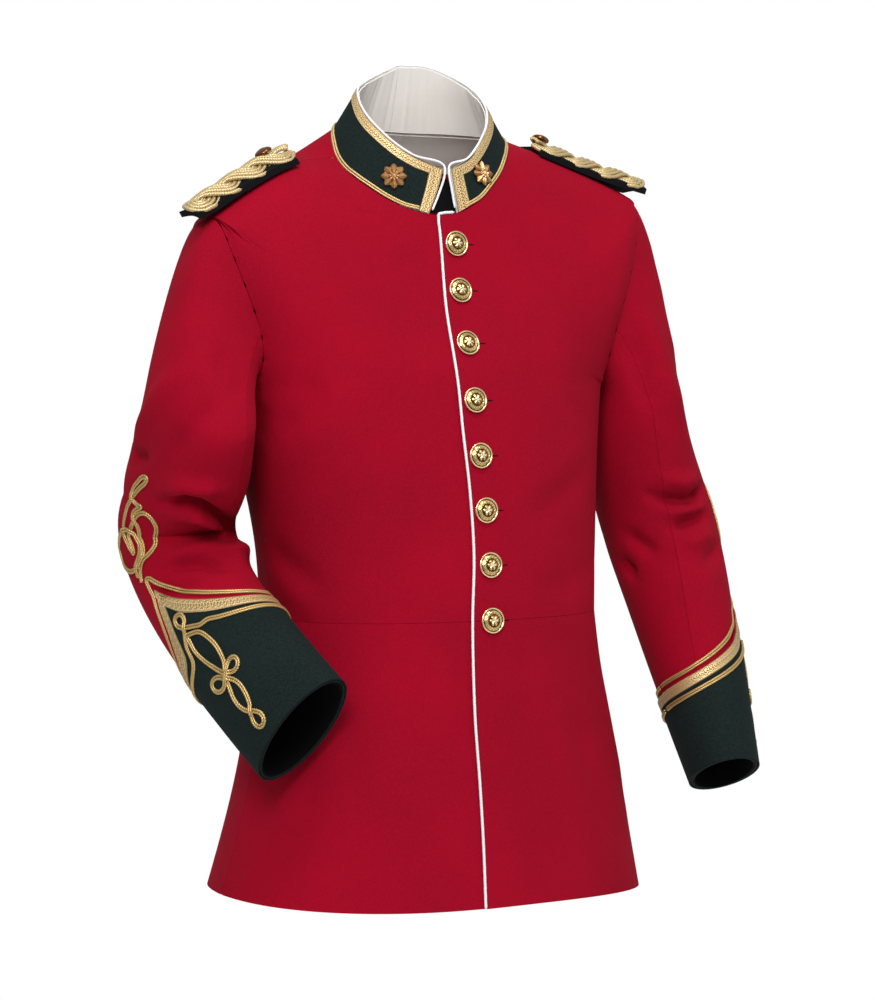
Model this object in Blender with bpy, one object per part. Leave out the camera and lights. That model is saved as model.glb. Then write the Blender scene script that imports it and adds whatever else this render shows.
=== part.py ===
"""A military dress tunic, worn and hollow: scarlet body and sleeves, dark green collar and cuffs, gold lace.

Frame: origin in the middle of the neck seam at the height of the side neck points, +X to the wearer's left,
the front faces -Y, +Z up. Sizes are millimetres here and metres in the scene.
"""
import math

import bpy
import numpy as np

MM = 0.001

# ---- cloth, seams and hems ----
MELTON = 2.0            # thickness of the scarlet and green wool
LINING = 1.0            # thickness of the cotton lining
GAP = 0.3               # clearance between neighbouring pieces
LAP_STATIONS = (0, 100, 330, 395, 480, 665)
LAP_WIDTHS = (14, 15, 15, 19, 21, 18)   # the left front passes the centre line by this much
LAP_BLEND = 30.0        # the right front sinks under the left one over this width
WAIST = 395.0           # station of the waist seam
HEM = 665.0             # station of the hem
SHOULDER = 100.0        # station of the top of the armhole
ARMPIT = 168.0          # station of the bottom of the armhole
ARMHOLE_FRONT = 32.0    # degrees that the armhole bites into the front
ARMHOLE_BACK = 27.0     # and into the back
ARMHOLE_SQUARE = 0.32   # half of 1 gives an oval armhole, less a squarer one
ARMHOLE_DRAW = 1.6      # columns crowd together toward the armhole by this power
SHOULDER_TURN = 90.0    # the shoulder and side seams lie at this turn

# ---- the body, one row for each section; a station is the distance down the front from the neck ----
BODY_COLUMNS = ("station", "z_front", "z_left", "z_right", "z_back", "shift",
                "half_width", "front", "back", "side_y", "square")
BODY_SECTIONS = (
    (0, -77, 0, 0, 14, 2, 95, 57, 78, 8, 0.00),
    (35, -110, -10, -20, -4, 3, 134, 61, 98, 3, 0.02),
    (70, -141, -28, -50, -38, 3, 188, 66, 116, -3, 0.05),
    (SHOULDER, -168, -49, -85, -82, 2, 237, 73, 130, -8, 0.08),
    (ARMPIT, -240, -246, -250, -240, 1, 201, 97, 143, 14, 0.07),
    (230, -304, -306, -306, -304, 2, 192, 107, 140, 10, 0.06),
    (310, -385, -386, -386, -385, 9, 180, 113, 134, 6, 0.05),
    (WAIST, -472, -472, -472, -472, 8, 175, 122, 130, 2, 0.05),
    (480, -557, -558, -556, -556, 9, 188, 128, 143, 2, 0.04),
    (570, -647, -650, -640, -646, 12, 205, 134, 156, 3, 0.04),
    (HEM, -746, -760, -737, -746, 9, 230, 144, 172, 4, 0.04),
)
# ---- heights of the neck seam and of the collar's rim, by the turn; the right shoulder hangs lower ----
NECK_TURNS = (-180, -150, -107, -88, -61, -30, -10, 10, 35, 65, 90, 130, 180)
NECK_HEIGHTS = (14, 15, 0, -25, -49, -74, -80, -74, -46, -10, 4, 12, 14)
NECK_FADE = 50.0        # the neck's own heights die out over this many stations
RIM_TURNS = (-180, -140, -115, -74, -37, -5, 16, 45, 82, 127, 155, 180)
RIM_HEIGHTS = (77, 57, 46, 12, -19, -35, -27, 2, 35, 65, 77, 77)
YOKE_STATIONS = (0, 22, 48, 75, SHOULDER)
LOWER_STATIONS = (ARMPIT, 215, 272, 333, WAIST)
SKIRT_STATIONS = (WAIST, 436, 490, 548, 606, HEM)
ARMHOLE_ROWS = 10       # rows of cloth along each half of the armhole
FRONT_COLUMNS = 7       # columns of cloth from the lap to the side seam
BACK_COLUMNS = 8        # and from the middle of the back to the side seam

# ---- sleeves, one row for each section, from the armpit to the mouth ----
SLEEVE_COLUMNS = ("x", "y", "z", "half_wide", "half_thick", "roll")
SLEEVE_SECTIONS = {
    "right": (
        (-254, -27, -266, 72, 48, 0),
        (-246, 14, -322, 70, 55, 0),
        (-241, 66, -384, 61, 58, 8),
        (-233, 25, -447, 61, 52, 16),
        (-219, -50, -506, 62, 45, 25),
        (-194, -120, -565, 63, 40, 32),
    ),
    "left": (
        (250, 2, -262, 66, 50, 0),
        (263, 6, -322, 66, 55, 0),
        (287, 4, -392, 65, 60, 5),
        (291, -24, -458, 62, 55, 12),
        (290, -64, -540, 61, 47, 22),
        (290, -112, -642, 62, 35, 30),
    ),
}
SLEEVE_ROUND = 2 * ARMHOLE_ROWS     # columns round a sleeve
CAP_STEPS = (0, 0.07, 0.2, 0.4, 0.62, 0.82)
ROWS_PER_SECTION = 2
CAP_REACH = 0.6         # how far the sleeve head stands out before it turns down the arm
CAP_FULLNESS = {"right": 0.5, "left": 0.3}      # how squarely it leaves the shoulder
CAP_DRAW = 0.1          # the top of the head is tighter by this much
CAP_LOW = 0.35          # under the arm the cloth turns down sooner
ELBOW_SMOOTHING = 3     # the rings turn gradually through the elbow
FRONT_SEAM = 6          # column of the sleeve's front seam
BACK_SEAM = 16          # column of its back seam
SIDES = {"left": 1, "right": -1}

# ---- the collar, its lace, badges and piping ----
COLLAR_RIM = {"shift": 2.0, "half_width": 70.0, "front": 49.0, "back": 58.0, "side_y": 4.0}
COLLAR_SEAT = 0.9               # the collar's foot clears the neck edge by this much
COLLAR_ENDS = {"left": (3.5, 1.8), "right": (-15.5, -5.0)}     # turn of each front end at foot and rim
COLLAR_END_COLUMN = 9           # its first column spans at least this many degrees
COLLAR_ROWS = 3
LACE_THICK = 0.9
LACE_LIFT = 0.7
LACE_MARGIN = 0.4
COLLAR_LACE = 10.5              # width along the rim
COLLAR_LACE_FRONT = 14.0        # width down the front ends
BASE_BRAID = (3.6, 1.6)         # width and thickness of the double braid at the foot
PIPING = 1.5                    # radius of the white piping
PIPING_SIDES = 6
PIPING_FOOT = 4.6               # the collar's piping starts above the piping of the neck edge
BRAID_CLEAR = 5.0               # the foot braid stops short of the front lace
TONGUE_TURNS = (-19, -13, -6, 1, 7)
TONGUE_HEIGHTS = (0.8, 0.42, 0.04)
NECK_LINING_STATIONS = (1.5, 22, 48)
BADGE_TURNS = {"left": 28.0, "right": -42.0}
BADGE_HEIGHT = 0.45
BADGE_RADIUS = 10.5
BADGE_WAIST = 8.0
BADGE_LEAVES = 8
BADGE_LIFT = 0.7

# ---- buttons ----
BUTTON_COUNT = 8
FIRST_BUTTON = 32.0             # station of the top button
LAST_BUTTON = WAIST             # the lowest sits on the waist seam
BUTTON_LIFT = 0.4
NECK_PIPING_START = 0.12        # share of the first column, just short of the left collar
SHOULDER_BUTTON_PLACE = {"right": 0.9, "left": 0.25}   # rows from the strap's inner end
BUTTON_SIDES = 14
COAT_BUTTON = ((0, 0), (10.5, 0), (12.5, 1.2), (12.4, 2.2), (11.0, 2.6), (6.5, 4.6), (0, 5.4))
SMALL_BUTTON = ((0, 0), (7.5, 0), (9.0, 1.0), (8.8, 2.0), (5.0, 4.2), (0, 5.0))

# ---- shoulder straps and cords ----
# the shoulder straps lie over these stations of the shoulder seam
STRAP_STATIONS = {"right": (44, 58, 71, 84, 98), "left": (32, 46, 60, 74, 89)}
STRAP_BEYOND = {"right": (12, 21), "left": (14, 28)}    # and run on past them by these lengths
STRAP_BACK = 7.0                        # they lie this far behind the seam
STRAP_RISE = 5.0                        # its outer end stands this much higher off the cloth
STRAP_HALF_WIDTH = 21.0
STRAP_ACROSS = (-1.0, -0.5, 0.0, 0.5, 1.0)
STRAP_LIFT = {"left": 1.0, "right": 2.6}
BACKING_THICK = 6.0
CORD_SEAT = 0.9
CORD_THICK = 7.5
CORD_LOBES = 5
CORD_ROWS = 15
CORD_EDGE = 0.12                        # the cord stops short of the backing's edge, in columns
LOBE_DEPTH = 0.22                       # and draws in between two lobes, in columns

# ---- cuffs, lace and braid ----
CUFF_PEAK = {"right": 86.0, "left": 101.0}      # the cuff's point stands at this angle round the sleeve
CUFF_POINT = 213.0              # height of the top braid at the point, up from the mouth
CUFF_LEVEL = {"right": 127.0, "left": 98.0}     # and at the front seam
CUFF_SPREAD = {"right": 100.0, "left": 162.0}   # degrees forward from the point to the level part
CUFF_BACK_SPREAD = 70.0         # and backward
CUFF_SHARPNESS = 2.5
ARC = 0.9                       # millimetres of sleeve to a degree, near the cuff
CUFF_THICK = 1.6
CUFF_LIFT = 1.0
CUFF_ROWS = 7
CUFF_TOP = 4.0                  # the green cloth ends this far below the top braid
CUFF_LINING_DEPTH = 45.0
TRIM_SEAT = 1.1                 # trim keeps this far off the cloth's facets
TRIM_BASE = CUFF_LIFT + CUFF_THICK + TRIM_SEAT
LACE_EDGES = (5.0, 17.5)        # upper and lower edge of the lace, below the top braid
LACE_STEPS = 40
LOW_BRAID = 24.0                # the lower braid, below the top one
BRAID = (5.2, 1.5)              # width and thickness of the double braid
KNOT_STEP = 5.0                 # distance between the sections of a knot
EDGE_STEP = 8.0                 # and of the braid along the cuff
TOP_BRAID_RISE = 0.5            # the braid over the cuff's edge runs this far above it
BRAID_MEET = 7.0                # strands nearer than this pass over each other
BRAID_SLOPE = 3.0               # and climb over this much of the way
BRAID_ASIDE = 13.0              # a strand is taken as another one past this length of itself
STEEPEST = 2.3                  # bands widen no more than this where the cuff's line is steep

# ---- the knots, as degrees round the right sleeve and millimetres up from the mouth ----
SLEEVE_KNOT = (
    (95, 214), (91, 221), (85, 228), (77, 234), (68, 237), (60, 244), (53, 258), (51, 278), (54, 299),
    (60, 309), (67, 311), (73, 305), (78, 290), (81, 272), (83, 252), (85, 245), (87, 258), (90, 271),
    (93, 282), (91, 296), (88, 310), (85, 324), (81, 337), (77, 349), (77, 355), (82, 351), (86, 340),
    (89, 328), (86, 319), (78, 315), (73, 317), (76, 310), (79, 302), (75, 292), (69, 279), (67, 264),
    (70, 250), (76, 237), (84, 231), (93, 230), (102, 232), (112, 238), (121, 246), (121, 253), (108, 261),
    (98, 269), (91, 275), (83, 277), (75, 274), (70, 265), (72, 253), (77, 243), (83, 236), (90, 229),
    (97, 221),
)
CUFF_KNOT = (
    (84, 130), (76, 124), (72, 110), (72, 97), (76, 86), (81, 78), (85, 70), (89, 61), (93, 52), (94, 43),
    (91, 33), (85, 26), (83, 18), (87, 12), (93, 14), (94, 22), (89, 29), (83, 38), (80, 47), (79, 57),
    (82, 66), (88, 74), (95, 81), (102, 80), (103, 73), (97, 67), (90, 67), (83, 71), (78, 77), (71, 80),
    (66, 77), (67, 70), (73, 67), (79, 71), (85, 78), (89, 88), (92, 101), (92, 114), (89, 124),
)
CORNER_LOOP = ((95, 126), (88, 134), (81, 141), (77, 148), (80, 154), (86, 154), (88, 147), (84, 140),
               (78, 134), (70, 127))


def slopes(xs, ys):
    """Slope of a smooth curve at each of its points."""
    result = np.empty(len(xs))
    steps = np.diff(xs)
    rises = np.diff(ys) / steps
    result[0] = rises[0]
    result[-1] = rises[-1]
    for k in range(1, len(xs) - 1):
        result[k] = (rises[k - 1] * steps[k] + rises[k] * steps[k - 1]) / (steps[k - 1] + steps[k])
    return result


def smooth(xs, ys, x):
    """Value at x of the smooth curve through the points (xs, ys)."""
    xs = np.asarray(xs, float)
    ys = np.asarray(ys, float)
    x = min(max(x, xs[0]), xs[-1])
    k = min(int(np.searchsorted(xs, x, side="right")) - 1, len(xs) - 2)
    step = xs[k + 1] - xs[k]
    t = (x - xs[k]) / step
    slope = slopes(xs, ys)
    return ((1 + 2 * t) * (1 - t) ** 2 * ys[k] + t * (1 - t) ** 2 * step * slope[k]
            + t * t * (3 - 2 * t) * ys[k + 1] + t * t * (t - 1) * step * slope[k + 1])


def smooth_row(columns, table, position, positions):
    """Every column of a table at one position between its rows."""
    return {name: smooth(positions, [row[k] for row in table], position)
            for k, name in enumerate(columns)}


def unit(vector):
    return vector / np.linalg.norm(vector)


def ease(t):
    """0 to 1 with level ends."""
    t = min(max(t, 0.0), 1.0)
    return t * t * (3 - 2 * t)


# ---------------------------------------------------------------- meshes

def make_object(name, points, faces, material):
    mesh = bpy.data.meshes.new(name)
    mesh.from_pydata([tuple(float(c) * MM for c in p) for p in points], [], faces)
    mesh.materials.append(material)
    mesh.shade_smooth()
    mesh.set_sharp_from_angle(angle=math.radians(40))
    piece = bpy.data.objects.new(name, mesh)
    bpy.context.collection.objects.link(piece)
    return piece


def make_material(name, colour, roughness, metallic=0.0):
    material = bpy.data.materials.new(name)
    material.use_nodes = True
    shader = material.node_tree.nodes["Principled BSDF"]
    shader.inputs["Base Color"].default_value = (*colour, 1.0)
    shader.inputs["Roughness"].default_value = roughness
    shader.inputs["Metallic"].default_value = metallic
    return material


def grid_normals(grid, closed):
    """Outward normals of a grid of points; its columns wrap round when it is closed."""
    if closed:
        across = np.roll(grid, -1, axis=1) - np.roll(grid, 1, axis=1)
    else:
        across = np.gradient(grid, axis=1)
    down = np.gradient(grid, axis=0)
    normals = np.cross(down, across)
    return normals / np.linalg.norm(normals, axis=2, keepdims=True)


def wall(name, outer, inner, material, closed=False):
    """One closed wall between two grids of points, rows running down and columns to the wearer's left."""
    rows, columns = outer.shape[:2]
    points = np.concatenate([outer.reshape(-1, 3), inner.reshape(-1, 3)])
    inside = rows * columns
    faces = []

    def quad(a, b, c, d):
        faces.append((a, b, c))
        faces.append((a, c, d))

    def at(row, column):
        return row * columns + column % columns

    spans = columns if closed else columns - 1
    for row in range(rows - 1):
        for column in range(spans):
            a, b = at(row, column), at(row, column + 1)
            c, d = at(row + 1, column + 1), at(row + 1, column)
            quad(a, d, c, b)
            quad(inside + a, inside + b, inside + c, inside + d)
    for column in range(spans):
        a, b = at(0, column), at(0, column + 1)
        quad(a, b, inside + b, inside + a)
        a, b = at(rows - 1, column), at(rows - 1, column + 1)
        quad(a, inside + a, inside + b, b)
    if not closed:
        for row in range(rows - 1):
            a, b = at(row, 0), at(row + 1, 0)
            quad(a, inside + a, inside + b, b)
            a, b = at(row, columns - 1), at(row + 1, columns - 1)
            quad(a, b, inside + b, inside + a)
    return make_object(name, points, faces, material)


def trimmed(grid, left=0.0, right=0.0, top=0.0, bottom=0.0):
    """The grid with its edges drawn in by these widths, for the gap at each seam."""
    result = grid.copy()
    for width, edge, beside in ((left, np.s_[:, 0], np.s_[:, 1]), (right, np.s_[:, -1], np.s_[:, -2]),
                                (top, np.s_[0], np.s_[1]), (bottom, np.s_[-1], np.s_[-2])):
        if width:
            inward = grid[beside] - grid[edge]
            inward /= np.linalg.norm(inward, axis=1, keepdims=True)
            result[edge] = result[edge] + inward * width
    return result


# ---------------------------------------------------------------- the body's surface

def body_row(station):
    return smooth_row(BODY_COLUMNS, BODY_SECTIONS, station, [row[0] for row in BODY_SECTIONS])


def neck_plain(turn):
    """Height of the neck seam that the first section alone would give."""
    first = dict(zip(BODY_COLUMNS, BODY_SECTIONS[0]))
    c = math.cos(math.radians(turn))
    side = first["z_left"] if turn > 0 else first["z_right"]
    end = first["z_front"] if c > 0 else first["z_back"]
    return side + (end - side) * c * c


def body_point(turn, station):
    """Outer face of the body; the turn goes from the front (0) by the wearer's left (90) to the back (180)."""
    row = body_row(station)
    c, s = math.cos(math.radians(turn)), math.sin(math.radians(turn))
    fuller = 1 + row["square"] * (2 * s * c) ** 2
    if c > 0:
        depth, z_end = row["front"] + row["side_y"], row["z_front"]
    else:
        depth, z_end = row["back"] - row["side_y"], row["z_back"]
    z_side = row["z_left"] if s > 0 else row["z_right"]
    height = z_side + (z_end - z_side) * c * c
    if station < NECK_FADE:
        turn = (turn + 180) % 360 - 180
        height += (smooth(NECK_TURNS, NECK_HEIGHTS, turn) - neck_plain(turn)) * (1 - station / NECK_FADE)
    return np.array((row["shift"] + row["half_width"] * s * fuller,
                     row["side_y"] - c * depth * fuller, height))


def body_normal(turn, station):
    step = 0.5
    across = body_point(turn + step, station) - body_point(turn - step, station)
    low, high = max(station - step, 0), min(station + step, HEM)
    down = body_point(turn, high) - body_point(turn, low)
    return unit(np.cross(down, across))


def armhole_turn(fraction, half):
    """How far the armhole has bitten into a panel, in degrees, from its top (0) to its bottom (1)."""
    bite = ARMHOLE_FRONT if half == "front" else ARMHOLE_BACK
    return bite * max(0.0, 1 - (2 * fraction - 1) ** 2) ** ARMHOLE_SQUARE


def armhole_stations():
    fractions = [(1 - math.cos(math.pi * k / ARMHOLE_ROWS)) / 2 for k in range(ARMHOLE_ROWS + 1)]
    return [(SHOULDER + (ARMPIT - SHOULDER) * f, f) for f in fractions]


# Rows of cloth: each has its station at the middle edge, its station at the side seam or armhole, and how far
# down the armhole it meets the edge
BODICE_ROWS = ([(s, s, 0.0) for s in YOKE_STATIONS[:-1]]
               + [(SHOULDER + (ARMPIT - SHOULDER) * k / ARMHOLE_ROWS, s, f)
                  for k, (s, f) in enumerate(armhole_stations())]
               + [(s, s, 0.0) for s in LOWER_STATIONS[1:]])
SKIRT_ROWS = [(s, s, 0.0) for s in SKIRT_STATIONS]


def lap(station):
    return smooth(LAP_STATIONS, LAP_WIDTHS, station)


def panel_places(half, row):
    """Turn and station of each point in a panel's row, from its middle edge. Both fronts have columns on the
    edges and the middle of the lap, so the two lie parallel there."""
    level, outer, fraction = row
    bite = armhole_turn(fraction, half)
    if half == "back":
        shares = [k / BACK_COLUMNS for k in range(BACK_COLUMNS + 1)]
        first, ahead, across, bite = 180.0, [], SHOULDER_TURN - 180.0, -bite
    else:
        first = math.degrees(math.asin(lap(level) / body_row(level)["half_width"]))
        shares = [k / FRONT_COLUMNS for k in range(FRONT_COLUMNS + 1)]
        ahead, across = [(-first, level), (0.0, level)], SHOULDER_TURN - first
    return ahead + [(first + across * share - bite * share ** ARMHOLE_DRAW, level + (outer - level) * share)
                    for share in shares]


def panel_grid(half, side, rows):
    """Points and normals of one quarter of the body, columns from the middle to the side seam."""
    sign = SIDES[side]
    places = [[(sign * turn, station) for turn, station in panel_places(half, row)] for row in rows]
    grid = [[body_point(turn, station) for turn, station in line] for line in places]
    normals = [[body_normal(turn, station) for turn, station in line] for line in places]
    return np.array(grid), np.array(normals)


def body_panel(name, half, side, rows, material):
    """One quarter of the bodice or of the skirt. The left front laps over the right one."""
    grid, normals = panel_grid(half, side, rows)
    middle = 0.0 if half == "front" else GAP / 2
    top = GAP / 2
    bottom = 0.0 if rows[-1][0] == HEM else GAP / 2
    grid = trimmed(grid, left=middle, right=GAP / 2, top=top, bottom=bottom)
    if half == "front" and side == "right":
        for k, row in enumerate(rows):
            level = row[0]
            past_edge = body_row(level)["shift"] - grid[k, :, 0] - lap(level)
            sinks = [(MELTON + GAP) * (1 - ease(past / LAP_BLEND)) for past in past_edge]
            grid[k] -= normals[k] * np.array(sinks)[:, None]
    inner = grid - normals * MELTON
    # Columns must run to the wearer's left on the outside, so these two panels are mirrored
    if (half == "front") != (side == "left"):
        grid, inner = grid[:, ::-1], inner[:, ::-1]
    return wall(name, grid, inner, material)


# ---------------------------------------------------------------- the sleeves' surface

def armhole_loop(side):
    """Edge points of the armhole with the outward normal of the body and the way into the hole, from the
    shoulder down the front to the armpit and up the back."""
    sign = SIDES[side]
    middle = body_point(sign * SHOULDER_TURN, (SHOULDER + ARMPIT) / 2)
    down_front = [(station, SHOULDER_TURN - armhole_turn(f, "front")) for station, f in armhole_stations()]
    up_back = [(station, SHOULDER_TURN + armhole_turn(f, "back")) for station, f in armhole_stations()][::-1]
    loop = []
    for station, turn in down_front[:-1] + up_back[:-1]:
        loop.append((body_point(sign * turn, station), body_normal(sign * turn, station)))
    points = np.array([p for p, n in loop])
    normals = np.array([n for p, n in loop])
    along = np.roll(points, -1, axis=0) - np.roll(points, 1, axis=0)
    into = np.cross(normals, along)
    into /= np.linalg.norm(into, axis=1, keepdims=True)
    inside = np.sum(into * (middle - points), axis=1, keepdims=True)
    into *= np.sign(inside)
    return points, normals, into


def sleeve_frames(side):
    """Centre, forward and outward axes and half sizes of each ring below the sleeve head."""
    table = SLEEVE_SECTIONS[side]
    places = list(range(len(table)))
    count = ROWS_PER_SECTION * (len(table) - 1)
    rows = [smooth_row(SLEEVE_COLUMNS, table, k / ROWS_PER_SECTION, places) for k in range(count + 1)]
    centres = np.array([(row["x"], row["y"], row["z"]) for row in rows])
    along = np.gradient(centres, axis=0)
    for smoothing in range(ELBOW_SMOOTHING):
        along[1:-1] = (along[:-2] + 2 * along[1:-1] + along[2:]) / 4
    frames = []
    for row, centre, direction in zip(rows, centres, along):
        direction = unit(direction)
        forward = np.array((0.0, -1.0, 0.0))
        forward = unit(forward - direction * forward.dot(direction))
        outward = np.cross(direction, forward) * -SIDES[side]
        if outward[0] * SIDES[side] < 0:
            outward = -outward
        roll = math.radians(row["roll"])
        wide = forward * math.cos(roll) - outward * math.sin(roll)
        thick = outward * math.cos(roll) + forward * math.sin(roll)
        frames.append((centre, direction, wide, thick, row["half_wide"], row["half_thick"]))
    return frames


def sleeve_angle(column):
    """Angle round a sleeve of one of its columns: 90 outward, 0 forward, -90 at the armpit."""
    return 90.0 - 360.0 * column / SLEEVE_ROUND


def ring_point(frame, angle):
    centre, direction, wide, thick, half_wide, half_thick = frame
    a = math.radians(angle)
    return centre + wide * (half_wide * math.cos(a)) + thick * (half_thick * math.sin(a))


def sleeve_grid(side):
    """Outer face of the whole sleeve: rows from the armhole to the mouth, columns from the outer side forward."""
    points, normals, into = armhole_loop(side)
    frames = sleeve_frames(side)
    start = points + into * GAP
    arm = frames[0][1]
    rows = []
    for t in CAP_STEPS:
        ring = []
        for column in range(SLEEVE_ROUND):
            end = ring_point(frames[0], sleeve_angle(column))
            reach = np.linalg.norm(end - start[column])
            top = max(0.0, math.sin(math.radians(sleeve_angle(column))))
            low = max(0.0, -math.sin(math.radians(sleeve_angle(column))))
            leave = unit(into[column] * (1 - low) + normals[column] * (CAP_FULLNESS[side] + low)
                         + arm * CAP_LOW * low)
            speed = reach * (CAP_REACH - CAP_DRAW * top)
            ring.append((1 + 2 * t) * (1 - t) ** 2 * start[column] + t * (1 - t) ** 2 * leave * speed
                        + t * t * (3 - 2 * t) * end + t * t * (t - 1) * arm * speed)
        rows.append(ring)
    for frame in frames:
        rows.append([ring_point(frame, sleeve_angle(column)) for column in range(SLEEVE_ROUND)])
    return np.array(rows)


SLEEVES = {}


def sleeve_surface(side):
    """The sleeve's outer grid, its outward normals and each row's distance from the mouth."""
    if side not in SLEEVES:
        grid = sleeve_grid(side)
        normals = grid_normals(grid, closed=True)
        outward = normals[len(CAP_STEPS), 0].dot(sleeve_frames(side)[0][3])
        normals *= np.sign(outward)
        centres = grid.mean(axis=1)
        lengths = np.linalg.norm(np.diff(centres, axis=0), axis=1)
        from_mouth = np.append(np.cumsum(lengths[::-1])[::-1], 0.0)
        SLEEVES[side] = (grid, normals, from_mouth)
    return SLEEVES[side]


def sleeve_inner(side):
    """Inner face of the sleeve; at the armhole it keeps clear of the body's edge."""
    grid, normals, from_mouth = sleeve_surface(side)
    into = armhole_loop(side)[2]
    inward = -normals.copy()
    first = inward[0]
    toward_body = np.minimum(0.0, np.sum(first * into, axis=1, keepdims=True))
    first = first - into * toward_body
    inward[0] = first / np.linalg.norm(first, axis=1, keepdims=True)
    return grid + inward * MELTON


def sleeve_panel(name, side, first, last, material):
    """The cloth between two seams of a sleeve."""
    columns = [column % SLEEVE_ROUND for column in range(first, last + 1)]
    grid = sleeve_surface(side)[0][:, columns]
    inner = sleeve_inner(side)[:, columns]
    seams = {"left": GAP / 2, "right": GAP / 2}
    outer, inner = trimmed(grid, **seams), trimmed(inner, **seams)
    if side == "left":
        outer, inner = outer[:, ::-1], inner[:, ::-1]
    return wall(name, outer, inner, material)


# ---------------------------------------------------------------- swept and turned pieces

def sweep(name, centres, axes_a, axes_b, profile, material):
    """A closed bar with this outline, carried along the centres; axes a, b and the way along are right-handed."""
    sides = len(profile)
    points = []
    for centre, a, b in zip(centres, axes_a, axes_b):
        points += [centre + a * u + b * v for u, v in profile]
    faces = []
    for ring in range(len(centres) - 1):
        for side in range(sides):
            p, q = ring * sides + side, ring * sides + (side + 1) % sides
            faces.append((p, q, q + sides))
            faces.append((p, q + sides, p + sides))
    last = (len(centres) - 1) * sides
    for side in range(1, sides - 1):
        faces.append((0, side + 1, side))
        faces.append((last, last + side, last + side + 1))
    return make_object(name, points, faces, material)


def round_profile(radius, sides):
    return [(radius * math.cos(2 * math.pi * k / sides), radius * math.sin(2 * math.pi * k / sides))
            for k in range(sides)]


def ribbon(name, first, second, lifts, thickness, material, crown=0.0):
    """A band whose two edges are given as points with normals; it lies at its lifts above them."""
    points = []
    for (p, n), (q, m), lift in zip(first, second, lifts):
        section = [p + n * lift, q + m * lift, q + m * (lift + thickness), p + n * (lift + thickness)]
        if crown:
            middle = (p + q) / 2 + unit(n + m) * (lift + thickness + crown)
            section.insert(3, middle)
        points += section
    sides = 5 if crown else 4
    faces = []
    for ring in range(len(first) - 1):
        for side in range(sides):
            a, b = ring * sides + side, ring * sides + (side + 1) % sides
            faces.append((a, b, b + sides))
            faces.append((a, b + sides, a + sides))
    last = (len(first) - 1) * sides
    for side in range(1, sides - 1):
        faces.append((0, side + 1, side))
        faces.append((last, last + side, last + side + 1))
    piece = make_object(name, points, faces, material)
    return piece


def turned(name, base, axis, outline, sides, material):
    """A solid of revolution: its outline is (radius, height) from the back's middle over the rim to the top."""
    axis = unit(axis)
    across = unit(np.cross(axis, (0.0, 0.0, 1.0)) if abs(axis[2]) < 0.9 else np.cross(axis, (1.0, 0.0, 0.0)))
    other = np.cross(axis, across)
    points = [base + axis * outline[0][1]]
    for radius, height in outline[1:-1]:
        for k in range(sides):
            a = 2 * math.pi * k / sides
            points.append(base + axis * height + (across * math.cos(a) + other * math.sin(a)) * radius)
    points.append(base + axis * outline[-1][1])
    faces = []
    rings = len(outline) - 2
    for k in range(sides):
        following = (k + 1) % sides
        faces.append((0, 1 + following, 1 + k))
        for ring in range(rings - 1):
            a, b = 1 + ring * sides + k, 1 + ring * sides + following
            faces.append((a, b, b + sides))
            faces.append((a, b + sides, a + sides))
        faces.append((len(points) - 1, 1 + (rings - 1) * sides + k, 1 + (rings - 1) * sides + following))
    return make_object(name, points, faces, material)


# ---------------------------------------------------------------- the collar


def collar_point(turn, height):
    """Outer face of the collar from its foot (0) to its rim (1)."""
    foot = body_point(turn, 0)
    up = unit(foot - body_point(turn, 6))
    foot = foot + up * COLLAR_SEAT
    c, s = math.cos(math.radians(turn)), math.sin(math.radians(turn))
    side_y = COLLAR_RIM["side_y"]
    depth = COLLAR_RIM["front"] + side_y if c > 0 else COLLAR_RIM["back"] - side_y
    around = (turn + 180) % 360 - 180
    rim = np.array((COLLAR_RIM["shift"] + COLLAR_RIM["half_width"] * s, side_y - c * depth,
                    smooth(RIM_TURNS, RIM_HEIGHTS, around)))
    return foot + (rim - foot) * height


def neck_turns(half):
    return [turn for turn, station in panel_places(half, BODICE_ROWS[0])]


def collar_turns(side, height):
    """Turns of the collar's columns, those of the neck edge that it stands on; only its front end leans."""
    foot, rim = COLLAR_ENDS[side]
    ring = neck_turns("front")[2:] + neck_turns("back")[-2::-1]
    return [foot + (rim - foot) * height] + [SIDES[side] * turn for turn in ring
                                              if turn > abs(foot) + COLLAR_END_COLUMN]


def collar_grid(side, low=0.0, high=1.0, rows=COLLAR_ROWS):
    """Outer points and normals of one half, rows from the rim down, columns from the front end to the back."""
    heights = [high + (low - high) * k / (rows - 1) for k in range(rows)]
    grid = np.array([[collar_point(turn, h) for turn in collar_turns(side, h)] for h in heights])
    normals = grid_normals(grid, closed=False) * SIDES[side]
    normals[:, -1, 0] = 0.0
    normals /= np.linalg.norm(normals, axis=2, keepdims=True)
    return grid, normals


def collar_piece(name, side, depth, thickness, material, low=0.0, high=1.0):
    grid, normals = collar_grid(side, low, high)
    outer = trimmed(grid - normals * depth, right=GAP / 2)
    inner = trimmed(grid - normals * (depth + thickness), right=GAP / 2)
    if side == "right":
        outer, inner = outer[:, ::-1], inner[:, ::-1]
    return wall(name, outer, inner, material)


def surface_pairs(grid, normals, places):
    """Points and normals of a grid at fractional (row, column) places."""
    result = []
    for row, column in places:
        r = min(int(row), grid.shape[0] - 2)
        c = min(int(column), grid.shape[1] - 2)
        v, u = row - r, column - c
        weights = ((1 - v) * (1 - u), (1 - v) * u, v * (1 - u), v * u)
        corners = ((r, c), (r, c + 1), (r + 1, c), (r + 1, c + 1))
        point = sum(w * grid[k] for w, k in zip(weights, corners))
        normal = unit(sum(w * normals[k] for w, k in zip(weights, corners)))
        result.append((point, normal))
    return result


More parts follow.
